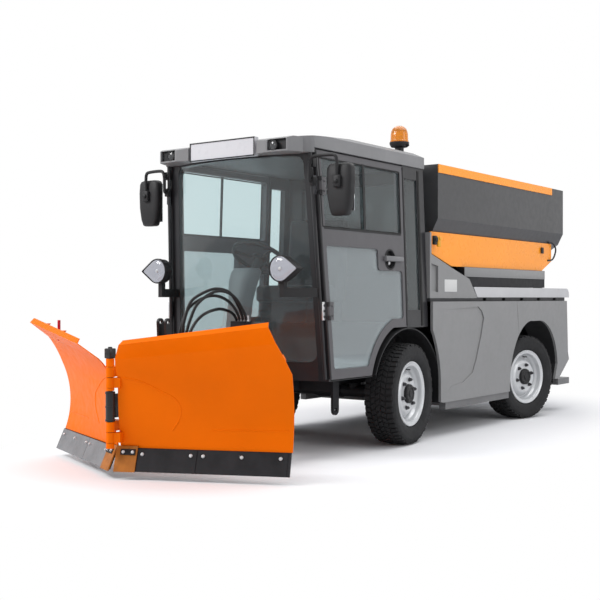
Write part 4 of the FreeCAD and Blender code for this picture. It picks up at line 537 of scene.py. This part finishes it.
def rim(corner):
    """Pressed steel wheel with its dish, nuts and hub cap."""
    turn = wheel_matrix(corner)
    origin = turn @ Vector((0, 0, 0))
    axis = turn.to_3x3() @ Vector((1, 0, 0))
    body = "wheel_" + corner
    outer = [(80.3, 196.0), (80.3, 216.0), (82.0, 219.5), (86.0, 220.0), (90.0, 219.0), (92.0, 215.5), (91.0, 211.0),
             (87.0, 207.0), (85.0, 200.0), (84.0, 192.0), (76.0, 187.5), (60.0, 186.5), (48.0, 183.0), (42.0, 175.0),
             (30.0, 172.0), (22.0, 169.0), (21.0, 164.0), (27.0, 157.0), (40.0, 148.0), (52.0, 137.0),
             (60.5, 127.0), (63.0, 119.0), (62.5, 108.0), (60.0, 98.0), (60.0, 78.0), (62.0, 72.0), (62.0, 0.0)]
    inner = [(49.0, 0.0), (49.0, 112.0), (34.0, 140.0), (12.0, 160.0), (10.0, 180.0), (-40.0, 186.0),
             (-88.0, 188.0), (-92.0, 215.0), (-88.0, 220.0), (-80.3, 216.0), (-80.3, 196.0)]
    shape = Shape().lathe(outer + inner, origin, axis, 96)
    shape.piece("rim_" + corner + "_pressed", body, "wheel_silver", looks["wheel_silver"],
                replaces=["rim_" + corner], sharp_deg=50)

    nuts = Shape()
    for k in range(6):
        angle = math.tau * (k + 0.25) / 6
        place = turn @ Vector((61.0, 97.0 * math.sin(angle), 97.0 * math.cos(angle)))
        nuts.bolt(place, axis, size=22.0, height=15.0, washer=3.0)
        nuts.rod(place, place + axis * 24.0, 7.0, 12, 1.0)
    valve = turn @ Vector((24.0, 40.0, 160.0))
    nuts.rod(valve, valve + axis * 38.0, 4.0, 10, 1.0)
    nuts.piece("wheel_nuts_" + corner, body, "edge_steel", trim["nut_dark"])

    cap = Shape().lathe([(55.0, 0.0), (55.0, 66.0), (80.0, 64.0), (86.0, 58.0), (86.0, 44.0), (82.0, 40.0),
                         (82.0, 26.0), (88.0, 22.0), (89.5, 0.0)], origin, axis, 40, closed=False)
    for k in range(8):
        angle = math.tau * k / 8
        place = turn @ Vector((85.0, 51.0 * math.sin(angle), 51.0 * math.cos(angle)))
        cap.bolt(place, axis, size=9.0, height=3.0, washer=0.5)
    cap.piece("hub_cap_" + corner, body, "black_plastic", looks["black_plastic"])


# Plough details
HINGE_Y = -2125.0
SWEEP = math.radians(24.0)
EDGE_LOW_Z = 45.0
EDGE_TOP_Z = 166.0
EDGE_LEAN = 52.0


def on_wing(side, t, n, z):
    """Place at t along a wing from its hinge, n forward of the hinge plane."""
    x = t * math.cos(SWEEP) + n * math.sin(SWEEP)
    return Vector((side * x, HINGE_Y + t * math.sin(SWEEP) - n * math.cos(SWEEP), z))


def wing_forward(side):
    return Vector((side * math.sin(SWEEP), -math.cos(SWEEP), 0))


def edge_face(z):
    """How far forward the cutting edge's face lies at a height."""
    return -EDGE_LEAN * (z - EDGE_LOW_Z) / (EDGE_TOP_Z - EDGE_LOW_Z)


def edge_slab(shape, side, t_low, t_high, z_low, z_high, thick, lift=0.0):
    """Plate on the cutting edge's leaning face."""
    corners = []
    for z in (z_low, z_high):
        for t in (t_low, t_high):
            for n in (edge_face(z) + lift, edge_face(z) + lift + thick):
                corners.append(on_wing(side, t, n, z))
    shape.merge(corners, BOX_FACES)


def plough_edge(side, name):
    body = "wing_" + name
    forward = wing_forward(side)
    lean = (forward + Vector((0, 0, EDGE_LEAN / (EDGE_TOP_Z - EDGE_LOW_Z)))).normalized()
    steel = Shape()
    edge_slab(steel, side, 146, 483, EDGE_LOW_Z + 1, EDGE_TOP_Z - 1, 3.0, 0.3)
    edge_slab(steel, side, 487, 988, EDGE_LOW_Z + 1, EDGE_TOP_Z - 1, 3.0, 0.3)
    # The right wing's blades take the pale copy of the edge steel, painted light for their lit side; the left wing's
    # keep the dark steel.
    look = looks["edge_steel"] if side > 0 else trim["painted_lit_edge_steel"]
    steel.piece("edge_blades_" + name, body, "edge_steel", look)

    bolts = Shape()
    for t in (172, 450, 520, 735, 950):
        place = on_wing(side, t, edge_face(136) + 3.4, 136)
        bolts.bolt(place, lean, size=15.0, height=6.0, washer=2.0)
    bolts.piece("edge_bolts_" + name, body, "edge_steel", trim["zinc"])

    flap = Shape()
    edge_slab(flap, side, 20, 143, EDGE_LOW_Z - 2, EDGE_TOP_Z + 12, 9.0, 1.0)
    flap.piece("centre_flap_" + name, body, "orange_paint", trim["flap_brown"])
    clamp = Shape()
    edge_slab(clamp, side, 48, 134, EDGE_TOP_Z - 34, EDGE_TOP_Z - 4, 5.0, 10.2)
    clamp.piece("flap_clamp_" + name, body, "edge_steel", looks["edge_steel"])
    studs = Shape()
    for t in (64, 118):
        place = on_wing(side, t, edge_face(EDGE_TOP_Z - 19) + 15.2, EDGE_TOP_Z - 19)
        studs.bolt(place, lean, size=14.0, height=6.0, washer=1.5)
    studs.piece("flap_bolts_" + name, body, "edge_steel", trim["zinc"])


def marker_rod():
    low = on_wing(-1, 680, 80, 735)
    shape = Shape().rod(low, low + Vector((0, 0, 124)), 9.0, 16, 2.0)
    shape.piece("wing_marker", "wing_right", "orange_paint", trim["marker_red"])


def on_face(node, place, direction):
    """Where a ray meets a CAD node, in millimetres, and the face's normal there."""
    obj = frame["nodes"][node]
    into = obj.matrix_world.inverted()
    hit, spot, normal, _face = obj.ray_cast(into @ at(*place), (into.to_3x3() @ Vector(direction)).normalized())
    if not hit:
        return None, None
    spot = obj.matrix_world @ spot
    return (spot - Vector((0, axle_shift, 0))) / MM, (obj.matrix_world.to_3x3() @ normal).normalized()


POCKET = ((69, 558), (171, 536), (273, 489), (345, 453), (381, 413), (388, 365), (372, 318), (337, 268))


def wing_press(side, name):
    """The pocket pressed into the board beside its hinge, and the rib over the edge."""
    shape = Shape()
    for points, radius in ((POCKET, 7.0), (((560, 274), (770, 276), (985, 276)), 6.0)):
        spots = []
        for place in smooth_path([Vector((t, 0, z)) for t, z in points], 8):
            start = on_wing(side, place.x, 400, place.z)
            spot, normal = on_face("wing_" + name, start, -wing_forward(side))
            if spot is not None:
                spots.append(spot - wing_forward(side) * (radius * 0.62))
        if len(spots) > 4:
            shape.tube(spots, radius, 12, smooth=False)
    shape.piece("wing_press_" + name, "wing_" + name, "orange_paint", looks["orange_paint"], sharp_deg=80)


def column_head():
    cuffs = Shape()
    for low, high in ((168.0, 198.0), (484.0, 498.5), (615.0, 660.0)):
        cuffs.rod((0, HINGE_Y, low), (0, HINGE_Y, high), 23.0, 32, 1.0)
    cuffs.piece("column_cuffs", "plough_frame", "orange_paint", looks["orange_paint"])
    head = Shape().block((-22, HINGE_Y - 24, 661), (22, HINGE_Y + 24, 716), 5)
    head.rod((0, HINGE_Y, 716), (0, HINGE_Y, 724), 12, 20, 2)
    head.piece("column_head", "plough_frame", "plough_black", looks["plough_black"])
    rings = Shape()
    for z in (322.0, 396.0, 472.0):
        rings.lathe([(-5, 25.0), (-5, 27.5), (5, 27.5), (5, 25.0)], (0, HINGE_Y, z), (0, 0, 1), 32)
    rings.piece("sleeve_rings", "plough_frame", "plough_black", looks["plough_black"])


HOSES = (
    ((34, -1590, 700), (42, -1590, 800), (54, -1575, 890), (74, -1545, 975), (112, -1460, 1030), (146, -1390, 1046),
     (170, -1310, 1020), (186, -1250, 940), (190, -1202, 845)),
    ((54, -1580, 690), (66, -1580, 790), (82, -1556, 884), (102, -1520, 960), (134, -1430, 1022), (168, -1360, 1030),
     (196, -1290, 990), (214, -1236, 910), (216, -1202, 845)),
    ((14, -1582, 680), (16, -1584, 780), (28, -1566, 864), (48, -1530, 940), (84, -1450, 992), (118, -1380, 1004),
     (142, -1300, 975), (158, -1240, 915), (164, -1202, 845)),
    ((74, -1590, 690), (90, -1588, 770), (112, -1552, 850), (140, -1500, 900), (152, -1400, 925), (148, -1310, 915),
     (140, -1240, 890), (138, -1202, 845)),
)


def plough_hoses():
    shape = Shape()
    for points in HOSES:
        shape.tube(points, 9.0, 12, 10)
    hoses = shape.piece("plough_hoses", None, "plough_black", trim["hose_rubber"], sharp_deg=80)
    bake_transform(hoses)
    ends = Shape()
    for points in HOSES:
        x, y, _z = points[-1]
        ends.rod((x, y, 849), (x, y, 862), 14, 6, 1)
        ends.rod((x, y, 862), (x, y, 885), 11.5, 20, 2)
    ends.piece("hose_couplers", "vehicle", "plough_black", trim["zinc"])


# Cab
CAB_LOW_Z, CAB_TOP_Z = 486.0, 1893.0
CAB_HALF_LOW, CAB_HALF_TOP = 640.0, 587.0
CAB_LEAN = 0.037
DOOR_FRONT_LOW, DOOR_FRONT_TOP = -923.0, -1007.0
DOOR_LOW_Z, DOOR_TOP_Z = 495.0, 1884.0


def cab_x(z):
    """Half width of the cab's side at a height."""
    return CAB_HALF_LOW + (CAB_HALF_TOP - CAB_HALF_LOW) * (z - CAB_LOW_Z) / (CAB_TOP_Z - CAB_LOW_Z)


def cab_corner_y(z):
    return -945.0 + (-1032.0 + 945.0) * (z - CAB_LOW_Z) / (CAB_TOP_Z - CAB_LOW_Z)


def door_front(z):
    return DOOR_FRONT_LOW + (DOOR_FRONT_TOP - DOOR_FRONT_LOW) * (z - DOOR_LOW_Z) / (DOOR_TOP_Z - DOOR_LOW_Z)


def strip(shape, points, width, proud):
    """Flat band on the cab's side through (y, z) points."""
    for (y0, z0), (y1, z1) in zip(points, points[1:]):
        along = Vector((0, y1 - y0, z1 - z0)).normalized()
        across = Vector((0, -along.z, along.y)) * (width / 2)
        rings = []
        for y, z in ((y0, z0), (y1, z1)):
            ring = []
            for sign in (-1, 1):
                for out in (-1.0, proud):
                    p = Vector((0, y, z)) + across * sign
                    p.x = cab_x(p.z) + out
                    ring.append(p)
            rings.append([ring[0], ring[1], ring[3], ring[2]])
        shape.loft(rings)


def a_pillar_rails():
    for side, name in SIDES:
        shape = Shape()
        for shift, out, radius in ((-20.0, -12.0, 12.0), (10.0, 5.0, 10.0)):
            points = [Vector((side * (cab_x(z) + out), cab_corner_y(z) + shift, z))
                      for z in (500, 700, 900, 1100, 1300, 1500, 1700, 1868)]
            shape.tube(points, radius, 14, smooth=False)
        shape.piece("pillar_rails_" + name, "vehicle", "cab_black", looks["cab_black"], sharp_deg=60)


def side_band(shape, side, points, width, proud):
    """Flat band on one side of the cab through (y, z) points."""
    band = Shape()
    strip(band, points, width, proud)
    for v in band.mesh.verts:
        v.co.x = v.co.x * side
    return shape.absorb(band.mesh)


def hinge_plates():
    for side, name in SIDES:
        for z, look in ((912.0, "zinc"), (1668.0, "nut_dark")):
            plate = Shape()
            x = cab_x(z)
            y = cab_corner_y(z)
            low_x, high_x = sorted((side * (x - 2), side * (x + 7)))
            plate.block((low_x, y - 26, z - 56), (high_x, y + 6, z + 56), 3)
            plate.piece("hinge_plate_%s_%d" % (name, z), "vehicle", "edge_steel", trim[look])
            screws = Shape()
            for k in (-1, 0, 1):
                place = Vector((side * (x + 7), y - 10, z + 34 * k))
                screws.bolt(place, (side, 0, 0), size=13, height=4, washer=1.0)
            screws.piece("pillar_screws_%s_%d" % (name, z), "vehicle", "edge_steel", trim["nut_dark"])
            leaf = Shape()
            front = door_front(z)
            low_x, high_x = sorted((side * (x + 8), side * (x + 13)))
            leaf.block((low_x, front + 16, z - 54), (high_x, front + 64, z + 54), 3.5)
            for k in (-1, 1):
                place = Vector((side * (x + 13), front + 44, z + 30 * k))
                leaf.bolt(place, (side, 0, 0), size=11, height=4, washer=1.0)
            leaf.piece("hinge_leaf_%s_%d" % (name, z), "door_" + name, "door_grey", looks["door_grey"])


def door_furniture():
    """Lock pocket, pull bar, window slide and seals of each door."""
    for side, name in SIDES:
        body = "door_" + name
        face = cab_x(1250.0)
        ring = [(-3.0, 58.0), (-3.0, 69.0), (2.0, 70.0), (3.5, 67.0), (3.5, 61.0), (-3.0, 56.0)]
        pocket = Shape().lathe(ring, (side * face, -190, 1246), (side, 0, CAB_LEAN), 40)
        pocket.lathe([(-25.0, 0.0), (-25.0, 60.5), (-22.0, 60.5), (-22.0, 0.0)], (side * face, -190, 1246),
                     (side, 0, 0), 40, closed=False)
        pocket.piece("lock_pocket_" + name, body, "door_grey", looks["black_plastic"])
        bar = Shape()
        low_x, high_x = sorted((side * (face - 8), side * (face + 24)))
        bar.block((low_x, -272, 1233), (high_x, -46, 1269), 9, 3)
        bar.piece("pull_bar_" + name, body, "door_grey", trim["handle_grey"])
        button = Shape().rod((side * (face - 14), -190, 1222), (side * (face - 4), -190, 1222), 12, 24, 2)
        button.piece("lock_button_" + name, body, "door_grey", trim["zinc"])
        slide = Shape()
        side_band(slide, side, [(-490.0, 1410.0), (-490.0, 1846.0)], 24.0, 3.0)
        side_band(slide, side, [(-944.0, 1416.0), (-44.0, 1416.0)], 10.0, 2.0)
        slide.piece("window_slide_" + name, body, "door_grey", looks["black_plastic"])
        seal = Shape()
        side_band(seal, side, [(-960.0, 1424.0), (-40.0, 1424.0), (-40.0, 1838.0), (-984.0, 1838.0),
                               (-960.0, 1424.0)], 9.0, 1.6)
        seal.piece("upper_seal_" + name, body, "door_grey", trim["rubber_seal"])
        edge = Shape()
        side_band(edge, side, [(3.0, 806.0), (3.0, 1876.0)], 9.0, 3.0)
        side_band(edge, side, [(212.0, 800.0), (212.0, 1872.0)], 22.0, 3.0)
        edge.piece("rear_seal_" + name, "vehicle", "cab_black", trim["rubber_seal"])


def teardrop_ring(side, scale, y, round_share=0.0):
    """Lamp outline at a depth; round_share turns it into a circle."""
    radius = 77.0 * scale
    tip = radius + (129.0 * scale - radius) * (1 - round_share)
    touch = math.acos(min(radius / max(tip, radius + 0.01), 1.0))
    ring = []
    for k in range(29):
        angle = touch + (math.tau - 2 * touch) * k / 28
        ring.append(Vector((side * (497.0 + radius * math.cos(angle)), y, 1164.0 + radius * math.sin(angle))))
    for share, rise in ((0.94, -1), (1.0, 0), (0.94, 1)):
        ring.append(Vector((side * (497.0 + tip * share), y, 1164.0 + rise * radius * 0.1)))
    return ring


def lamps():
    lens, bowl, bezel, bulbs = Shape(), Shape(), Shape(), Shape()
    for side, _name in SIDES:
        lens.loft([teardrop_ring(side, s, y, c) for s, y, c in (
            (0.965, -1238.0, 0), (0.955, -1250.0, 0), (0.86, -1257.0, 0.2), (0.55, -1263.0, 0.6), (0.1, -1266.0, 1.0))])
        bowl.loft([teardrop_ring(side, s, y, c) for s, y, c in (
            (0.94, -1247.0, 0), (0.90, -1241.0, 0.1), (0.74, -1238.5, 0.7), (0.5, -1237.2, 1.0), (0.1, -1236.6, 1.0))])
        bezel.loft([teardrop_ring(side, s, y, 0) for s, y in (
            (0.94, -1246.0), (0.97, -1253.0), (1.02, -1252.0), (1.05, -1244.0), (1.05, -1226.0), (1.01, -1222.0))],
            capped=False)
        for k in range(6):
            angle = math.tau * k / 6
            place = Vector((side * 497.0, -1240.0, 1164.0))
            away = Vector((math.cos(angle), 0, math.sin(angle)))
            bowl.tube([place + away * 16, place + away * 64], 2.6, 6, smooth=False)
        bulbs.rod((side * 497.0, -1237, 1164), (side * 497.0, -1252, 1164), 12, 24, 4)
        lens.rod((side * 414.0, -1199, 1901), (side * 414.0, -1207, 1901), 26, 32, 3)
        bowl.rod((side * 414.0, -1196, 1901), (side * 414.0, -1199.5, 1901), 27, 24, 1)
        bezel.lathe([(0, 26.5), (0, 31.5), (12, 31.5), (12, 26.5)], (side * 414.0, -1196, 1901), (0, -1, 0), 40)
    lens.piece("front_lenses", "vehicle", "lamp_glass", looks["lamp_glass"], replaces=["lamp_lenses"], sharp_deg=50)
    bowl.piece("lamp_reflectors", "vehicle", "lamp_glass", trim["reflector"], sharp_deg=12)
    bezel.piece("lamp_bezels", "vehicle", "black_plastic", looks["black_plastic"])
    bulbs.piece("lamp_bulbs", "vehicle", "lamp_glass", trim["zinc"])
    red, amber, clear = Shape(), Shape(), Shape()
    for side, _name in SIDES:
        for shape, a, b in ((red, 463, 512), (amber, 514, 552), (clear, 554, 578)):
            low_x, high_x = sorted((side * a, side * b))
            shape.block((low_x, 2769, 849), (high_x, 2782, 925), 3)
    red.piece("tail_lenses", "vehicle", "lamp_glass", trim["red_lens"])
    amber.piece("turn_lenses", "vehicle", "amber", looks["amber"])
    clear.piece("reverse_lenses", "vehicle", "lamp_glass", looks["lamp_glass"])


def beacon():
    foot = 2072.0
    profile = [(0, 52), (0, 63), (5, 65), (12, 65), (15, 62), (40, 61), (60, 60), (80, 56), (96, 48), (107, 36),
               (115, 20), (118, 0)]
    dome = Shape().lathe(profile + [(0, 0)], (480, 150, foot), (0, 0, 1), 48, closed=False)
    dome.piece("beacon_dome", "vehicle", "amber", looks["amber"], replaces=["beacon_lens"], sharp_deg=40)
    stem = Shape()
    stem.lathe([(-80, 0), (-80, 38), (-72, 40), (-68, 31), (-36, 31), (-30, 58), (-12, 68), (1, 69), (3, 66)],
               (480, 150, foot), (0, 0, 1), 40, closed=False)
    stem.rod((530, 150, 2050), (556, 150, 2050), 9, 16, 2)
    stem.piece("beacon_foot", "vehicle", "black_plastic", looks["black_plastic"])


MIRROR_X = 774.0


def oblong(half, front, back, count, squareness):
    """Places (across, deep) around a rounded oblong; less squareness is squarer across."""
    places = []
    for k in range(count):
        angle = math.tau * k / count
        c, n = math.cos(angle), math.sin(angle)
        places.append((half * math.copysign(abs(c) ** squareness, c),
                       (front + back) / 2 + (back - front) / 2 * math.copysign(abs(n) ** 0.6, n)))
    return places


def mirrors():
    for side, name in SIDES:
        head = Shape()
        rings = []
        for z, half, front, back in ((1477, 46, -1038, -990), (1484, 58, -1044, -984), (1520, 72, -1050, -981),
                                     (1600, 86, -1053, -979), (1700, 91, -1052, -978), (1760, 88, -1049, -979),
                                     (1778, 78, -1044, -982), (1784, 62, -1036, -988)):
            rings.append([Vector((side * (MIRROR_X + x), y, z)) for x, y in oblong(half, front, back, 32, 0.45)])
        head.loft(rings)
        head.piece("mirror_head_" + name, "vehicle", "black_plastic", looks["black_plastic"], replaces=["mirrors"],
                   sharp_deg=50)
        glass = Shape()
        low_x, high_x = sorted((side * 702, side * 846))
        glass.block((low_x, -980, 1506), (high_x, -976.5, 1764), 1.5)
        glass.piece("mirror_glass_" + name, "vehicle", "black_plastic", trim["mirror_glass"])
        arm = Shape()
        x, y = side, -1062.0
        arm.tube([(x * 588, -1046, 1690), (x * 590, -1074, 1692), (x * 590, -1078, 1720), (x * 592, -1078, 1790),
                  (x * 606, -1077, 1824), (x * 640, -1074, 1834), (x * 740, y - 2, 1834), (x * 768, y - 1, 1824),
                  (x * 776, y, 1790), (x * 776, y, 1700)], 10.5, 14, 6)
        arm.tube([(x * 588, -1046, 1800), (x * 590, -1076, 1800), (x * 594, -1078, 1800)], 10.5, 14, 4)
        arm.block(*corners_of(x, 752, 800, -1074, -1046, 1640, 1712), 8)
        arm.rod((x * 776, -1074, 1676), (x * 776, -1084, 1676), 13, 20, 2)
        for z in (1690.0, 1800.0):
            arm.block(*corners_of(x, 572, 606, -1062, -1030, z - 26, z + 26), 4)
        arm.piece("mirror_arm_" + name, "vehicle", "black_plastic", looks["black_plastic"], sharp_deg=50)


def corners_of(side, x_low, x_high, y_low, y_high, z_low, z_high):
    """Two opposite corners of a box on one side of the vehicle."""
    a, b = sorted((side * x_low, side * x_high))
    return (a, y_low, z_low), (b, y_high, z_high)


def plate_frame():
    """Black rim around the blank plate's pale face."""
    rim = Shape()
    for low, high in (((-262, -1194, 1853), (262, -1190, 1860)), ((-262, -1194, 1962), (262, -1190, 1969)),
                      ((-262, -1194, 1853), (-255, -1190, 1969)), ((255, -1194, 1853), (262, -1190, 1969))):
        rim.block(low, high, 1.2)
    rim.piece("plate_rim", "vehicle", "plate_white", looks["black_plastic"])


LATCH_Y = 392.0


def deck_details():
    label, latch, dark, loop = Shape(), Shape(), Shape(), Shape()
    for side, _name in SIDES:
        label.block(*corners_of(side, 639, 641.5, 512, 700, 1036, 1124), 1)
        latch.block(*corners_of(side, 640, 656, LATCH_Y, LATCH_Y + 46, 1352, 1424), 7)
        latch.rod((side * 640, LATCH_Y + 23, 1412), (side * 664, LATCH_Y + 23, 1412), 15, 20, 3)
        dark.rod((side * 636, LATCH_Y - 24, 1404), (side * 660, LATCH_Y - 24, 1404), 17, 20, 3)
        dark.block(*corners_of(side, 630, 652, LATCH_Y - 46, LATCH_Y - 6, 1366, 1430), 5)
        dark.block(*corners_of(side, 611, 620, 2290, 2334, 1372, 1424), 3)
        loop.tube([(side * 604, 2462, 1470), (side * 622, 2520, 1466), (side * 628, 2572, 1412),
                   (side * 622, 2520, 1330), (side * 606, 2440, 1316)], 7.0, 12, 8)
        for y in (1120.0, 1460.0, 1800.0, 2140.0, 2480.0):
            dark.block(*corners_of(side, 606, 640, y, y + 60, 967, 995), 3)
    ledge = Shape()
    for side, _name in SIDES:
        ledge.block(*corners_of(side, 624, 629, 846, 2332, 1150, 1221), 2)
        for y in (1260.0, 1700.0, 2080.0):
            dark.block(*corners_of(side, 560, 612, y, y + 90, 1080, 1100), 6)
    ledge.piece("spreader_ledges", "vehicle", "body_grey", looks["body_grey"])
    label.piece("blank_labels", "vehicle", "body_grey", trim["label_blank"])
    latch.piece("hopper_latches", "vehicle", "hopper_steel", trim["latch_yellow"])
    dark.piece("hopper_fixings", "vehicle", "hopper_steel", looks["black_plastic"])
    loop.piece("hopper_loops", "vehicle", "hopper_steel", trim["hose_rubber"])


WHEEL_X = -190.0


def steering():
    boot = Shape()
    rings = []
    for z, half, front, back in ((517, 92, -950, -720), (560, 78, -930, -730), (800, 62, -880, -720),
                                 (980, 66, -850, -690), (1100, 84, -830, -655), (1165, 88, -800, -625),
                                 (1190, 72, -775, -630)):
        rings.append([Vector((WHEEL_X + x, y, z)) for x, y in oblong(half, front, back, 28, 0.6)])
    boot.loft(rings)
    boot.piece("column_boot", "vehicle", "console_grey", looks["console_grey"], replaces=["steering_console"],
               sharp_deg=60)
    middle = Vector((WHEEL_X, -565, 1260))
    tilt = Matrix.Translation(middle) @ Matrix.Rotation(math.radians(-32), 4, "X")
    origin = tilt @ Vector((0, 0, 0))
    axis = tilt.to_3x3() @ Vector((0, 0, 1))
    wheel = Shape()
    ring = [(15 * math.sin(math.tau * k / 14), 190 + 15 * math.cos(math.tau * k / 14)) for k in range(14)]
    wheel.lathe(ring, origin, axis, 72)
    wheel.lathe([(-120, 0), (-120, 34), (-20, 38), (-14, 52), (8, 54), (14, 46), (16, 0)], origin, axis, 40,
                closed=False)
    for turn in (90, 210, 330):
        angle = math.radians(turn)
        reach = [tilt @ Vector((d * math.cos(angle), d * math.sin(angle), h))
                 for d, h in ((30, 2), (110, -4), (188, 0))]
        wheel.tube(reach, 11, 12, 6)
    wheel.piece("steering_wheel_round", "vehicle", "grip_black", looks["grip_black"], replaces=["steering_wheel"],
                sharp_deg=60)


# Stage, light and camera
def light(name, place, target, size, power):
    data = bpy.data.lights.new(name, "AREA")
    data.shape = "RECTANGLE"
    data.size, data.size_y = size
    data.energy = power
    obj = bpy.data.objects.new(name, data)
    obj.location = place
    obj.rotation_euler = (Vector(target) - Vector(place)).to_track_quat("-Z", "Y").to_euler()
    bpy.context.scene.collection.objects.link(obj)


def floor():
    mesh = bpy.data.meshes.new("floor")
    size = 40.0
    mesh.from_pydata([(-size, -size, 0), (size, -size, 0), (size, size, 0), (-size, size, 0)], [], [(0, 1, 2, 3)])
    obj = bpy.data.objects.new("floor", mesh)
    bpy.context.scene.collection.objects.link(obj)
    material, nodes, links = new_material("floor")
    shader = set_inputs(nodes["Principled BSDF"], Base_Color=(0.86, 0.86, 0.87, 1), Roughness=0.9,
                        Specular_IOR_Level=0.1)
    white = add(nodes, "Emission", Color=(1, 1, 1, 1))
    place = add(nodes, "TexCoord")
    distance = add(nodes, "VectorMath", "LENGTH")
    fade = add(nodes, "MapRange", From_Min=0.92, From_Max=1.4)
    fade.interpolation_type = "SMOOTHSTEP"
    camera_ray = add(nodes, "LightPath")
    both = add(nodes, "Math", "MULTIPLY")
    mix = add(nodes, "MixShader")
    squeeze = add(nodes, "VectorMath", "MULTIPLY")
    squeeze.inputs[1].default_value = (1 / 1.25, 1 / 2.75, 0)
    links.new(place.outputs["Object"], squeeze.inputs[0])
    links.new(squeeze.outputs["Vector"], distance.inputs[0])
    links.new(distance.outputs["Value"], fade.inputs["Value"])
    links.new(fade.outputs["Result"], both.inputs[0])
    links.new(camera_ray.outputs["Is Camera Ray"], both.inputs[1])
    links.new(both.outputs["Value"], mix.inputs["Fac"])
    links.new(shader.outputs["BSDF"], mix.inputs[1])
    links.new(white.outputs["Emission"], mix.inputs[2])
    links.new(mix.outputs["Shader"], nodes["Material Output"].inputs["Surface"])
    mesh.materials.append(material)


def world():
    """Soft light, with a white background for camera, transmission and glossy rays."""
    scene_world = bpy.data.worlds.new("studio")
    bpy.context.scene.world = scene_world
    scene_world.use_nodes = True
    nodes, links = scene_world.node_tree.nodes, scene_world.node_tree.links
    base = set_inputs(nodes["Background"], Color=(0.93, 0.95, 1.0, 1), Strength=0.66)
    seen = add(nodes, "Background", Color=(1, 1, 1, 1), Strength=1.0)
    path = add(nodes, "LightPath")
    either = add(nodes, "Math", "MAXIMUM")
    third = add(nodes, "Math", "MAXIMUM")
    mix = add(nodes, "MixShader")
    links.new(path.outputs["Is Camera Ray"], either.inputs[0])
    links.new(path.outputs["Is Transmission Ray"], either.inputs[1])
    links.new(either.outputs["Value"], third.inputs[0])
    links.new(path.outputs["Is Glossy Ray"], third.inputs[1])
    links.new(third.outputs["Value"], mix.inputs["Fac"])
    links.new(base.outputs["Background"], mix.inputs[1])
    links.new(seen.outputs["Background"], mix.inputs[2])
    links.new(mix.outputs["Shader"], nodes["World Output"].inputs["Surface"])


def camera():
    data = bpy.data.cameras.new("photo_view")
    data.sensor_width = 36.0
    data.lens = 62.29
    obj = bpy.data.objects.new("photo_view", data)
    obj.location = at(4191, -6096, 991)
    obj.rotation_euler = (math.radians(90 - 0.11), 0, math.radians(36.18))
    bpy.context.scene.collection.objects.link(obj)
    bpy.context.scene.camera = obj


def build_scene():
    camera()
    world()
    floor()
    light("key", (-3.4, -6.2, 5.2), (-0.3, -1.2, 0.8), (3.2, 2.4), 350)
    light("top", (0.6, 0.4, 5.6), (0.0, 0.2, 0.8), (4.5, 6.0), 230)
    light("side", (6.2, 0.6, 3.2), (0.6, 0.4, 0.9), (3.0, 4.0), 90)
    dress_nodes()
    tint_lower_panes()
    warm_band()
    for corner in CORNERS:
        tyre(corner)
        rim(corner)
    for side, name in SIDES:
        plough_edge(side, name)
    for side, name in SIDES:
        wing_press(side, name)
    column_head()
    plough_hoses()
    marker_rod()
    a_pillar_rails()
    hinge_plates()
    door_furniture()
    lamps()
    beacon()
    mirrors()
    plate_frame()
    deck_details()
    steering()


build_scene()
bpy.context.scene.view_settings.view_transform = "Standard"
bpy.context.view_layer.update()
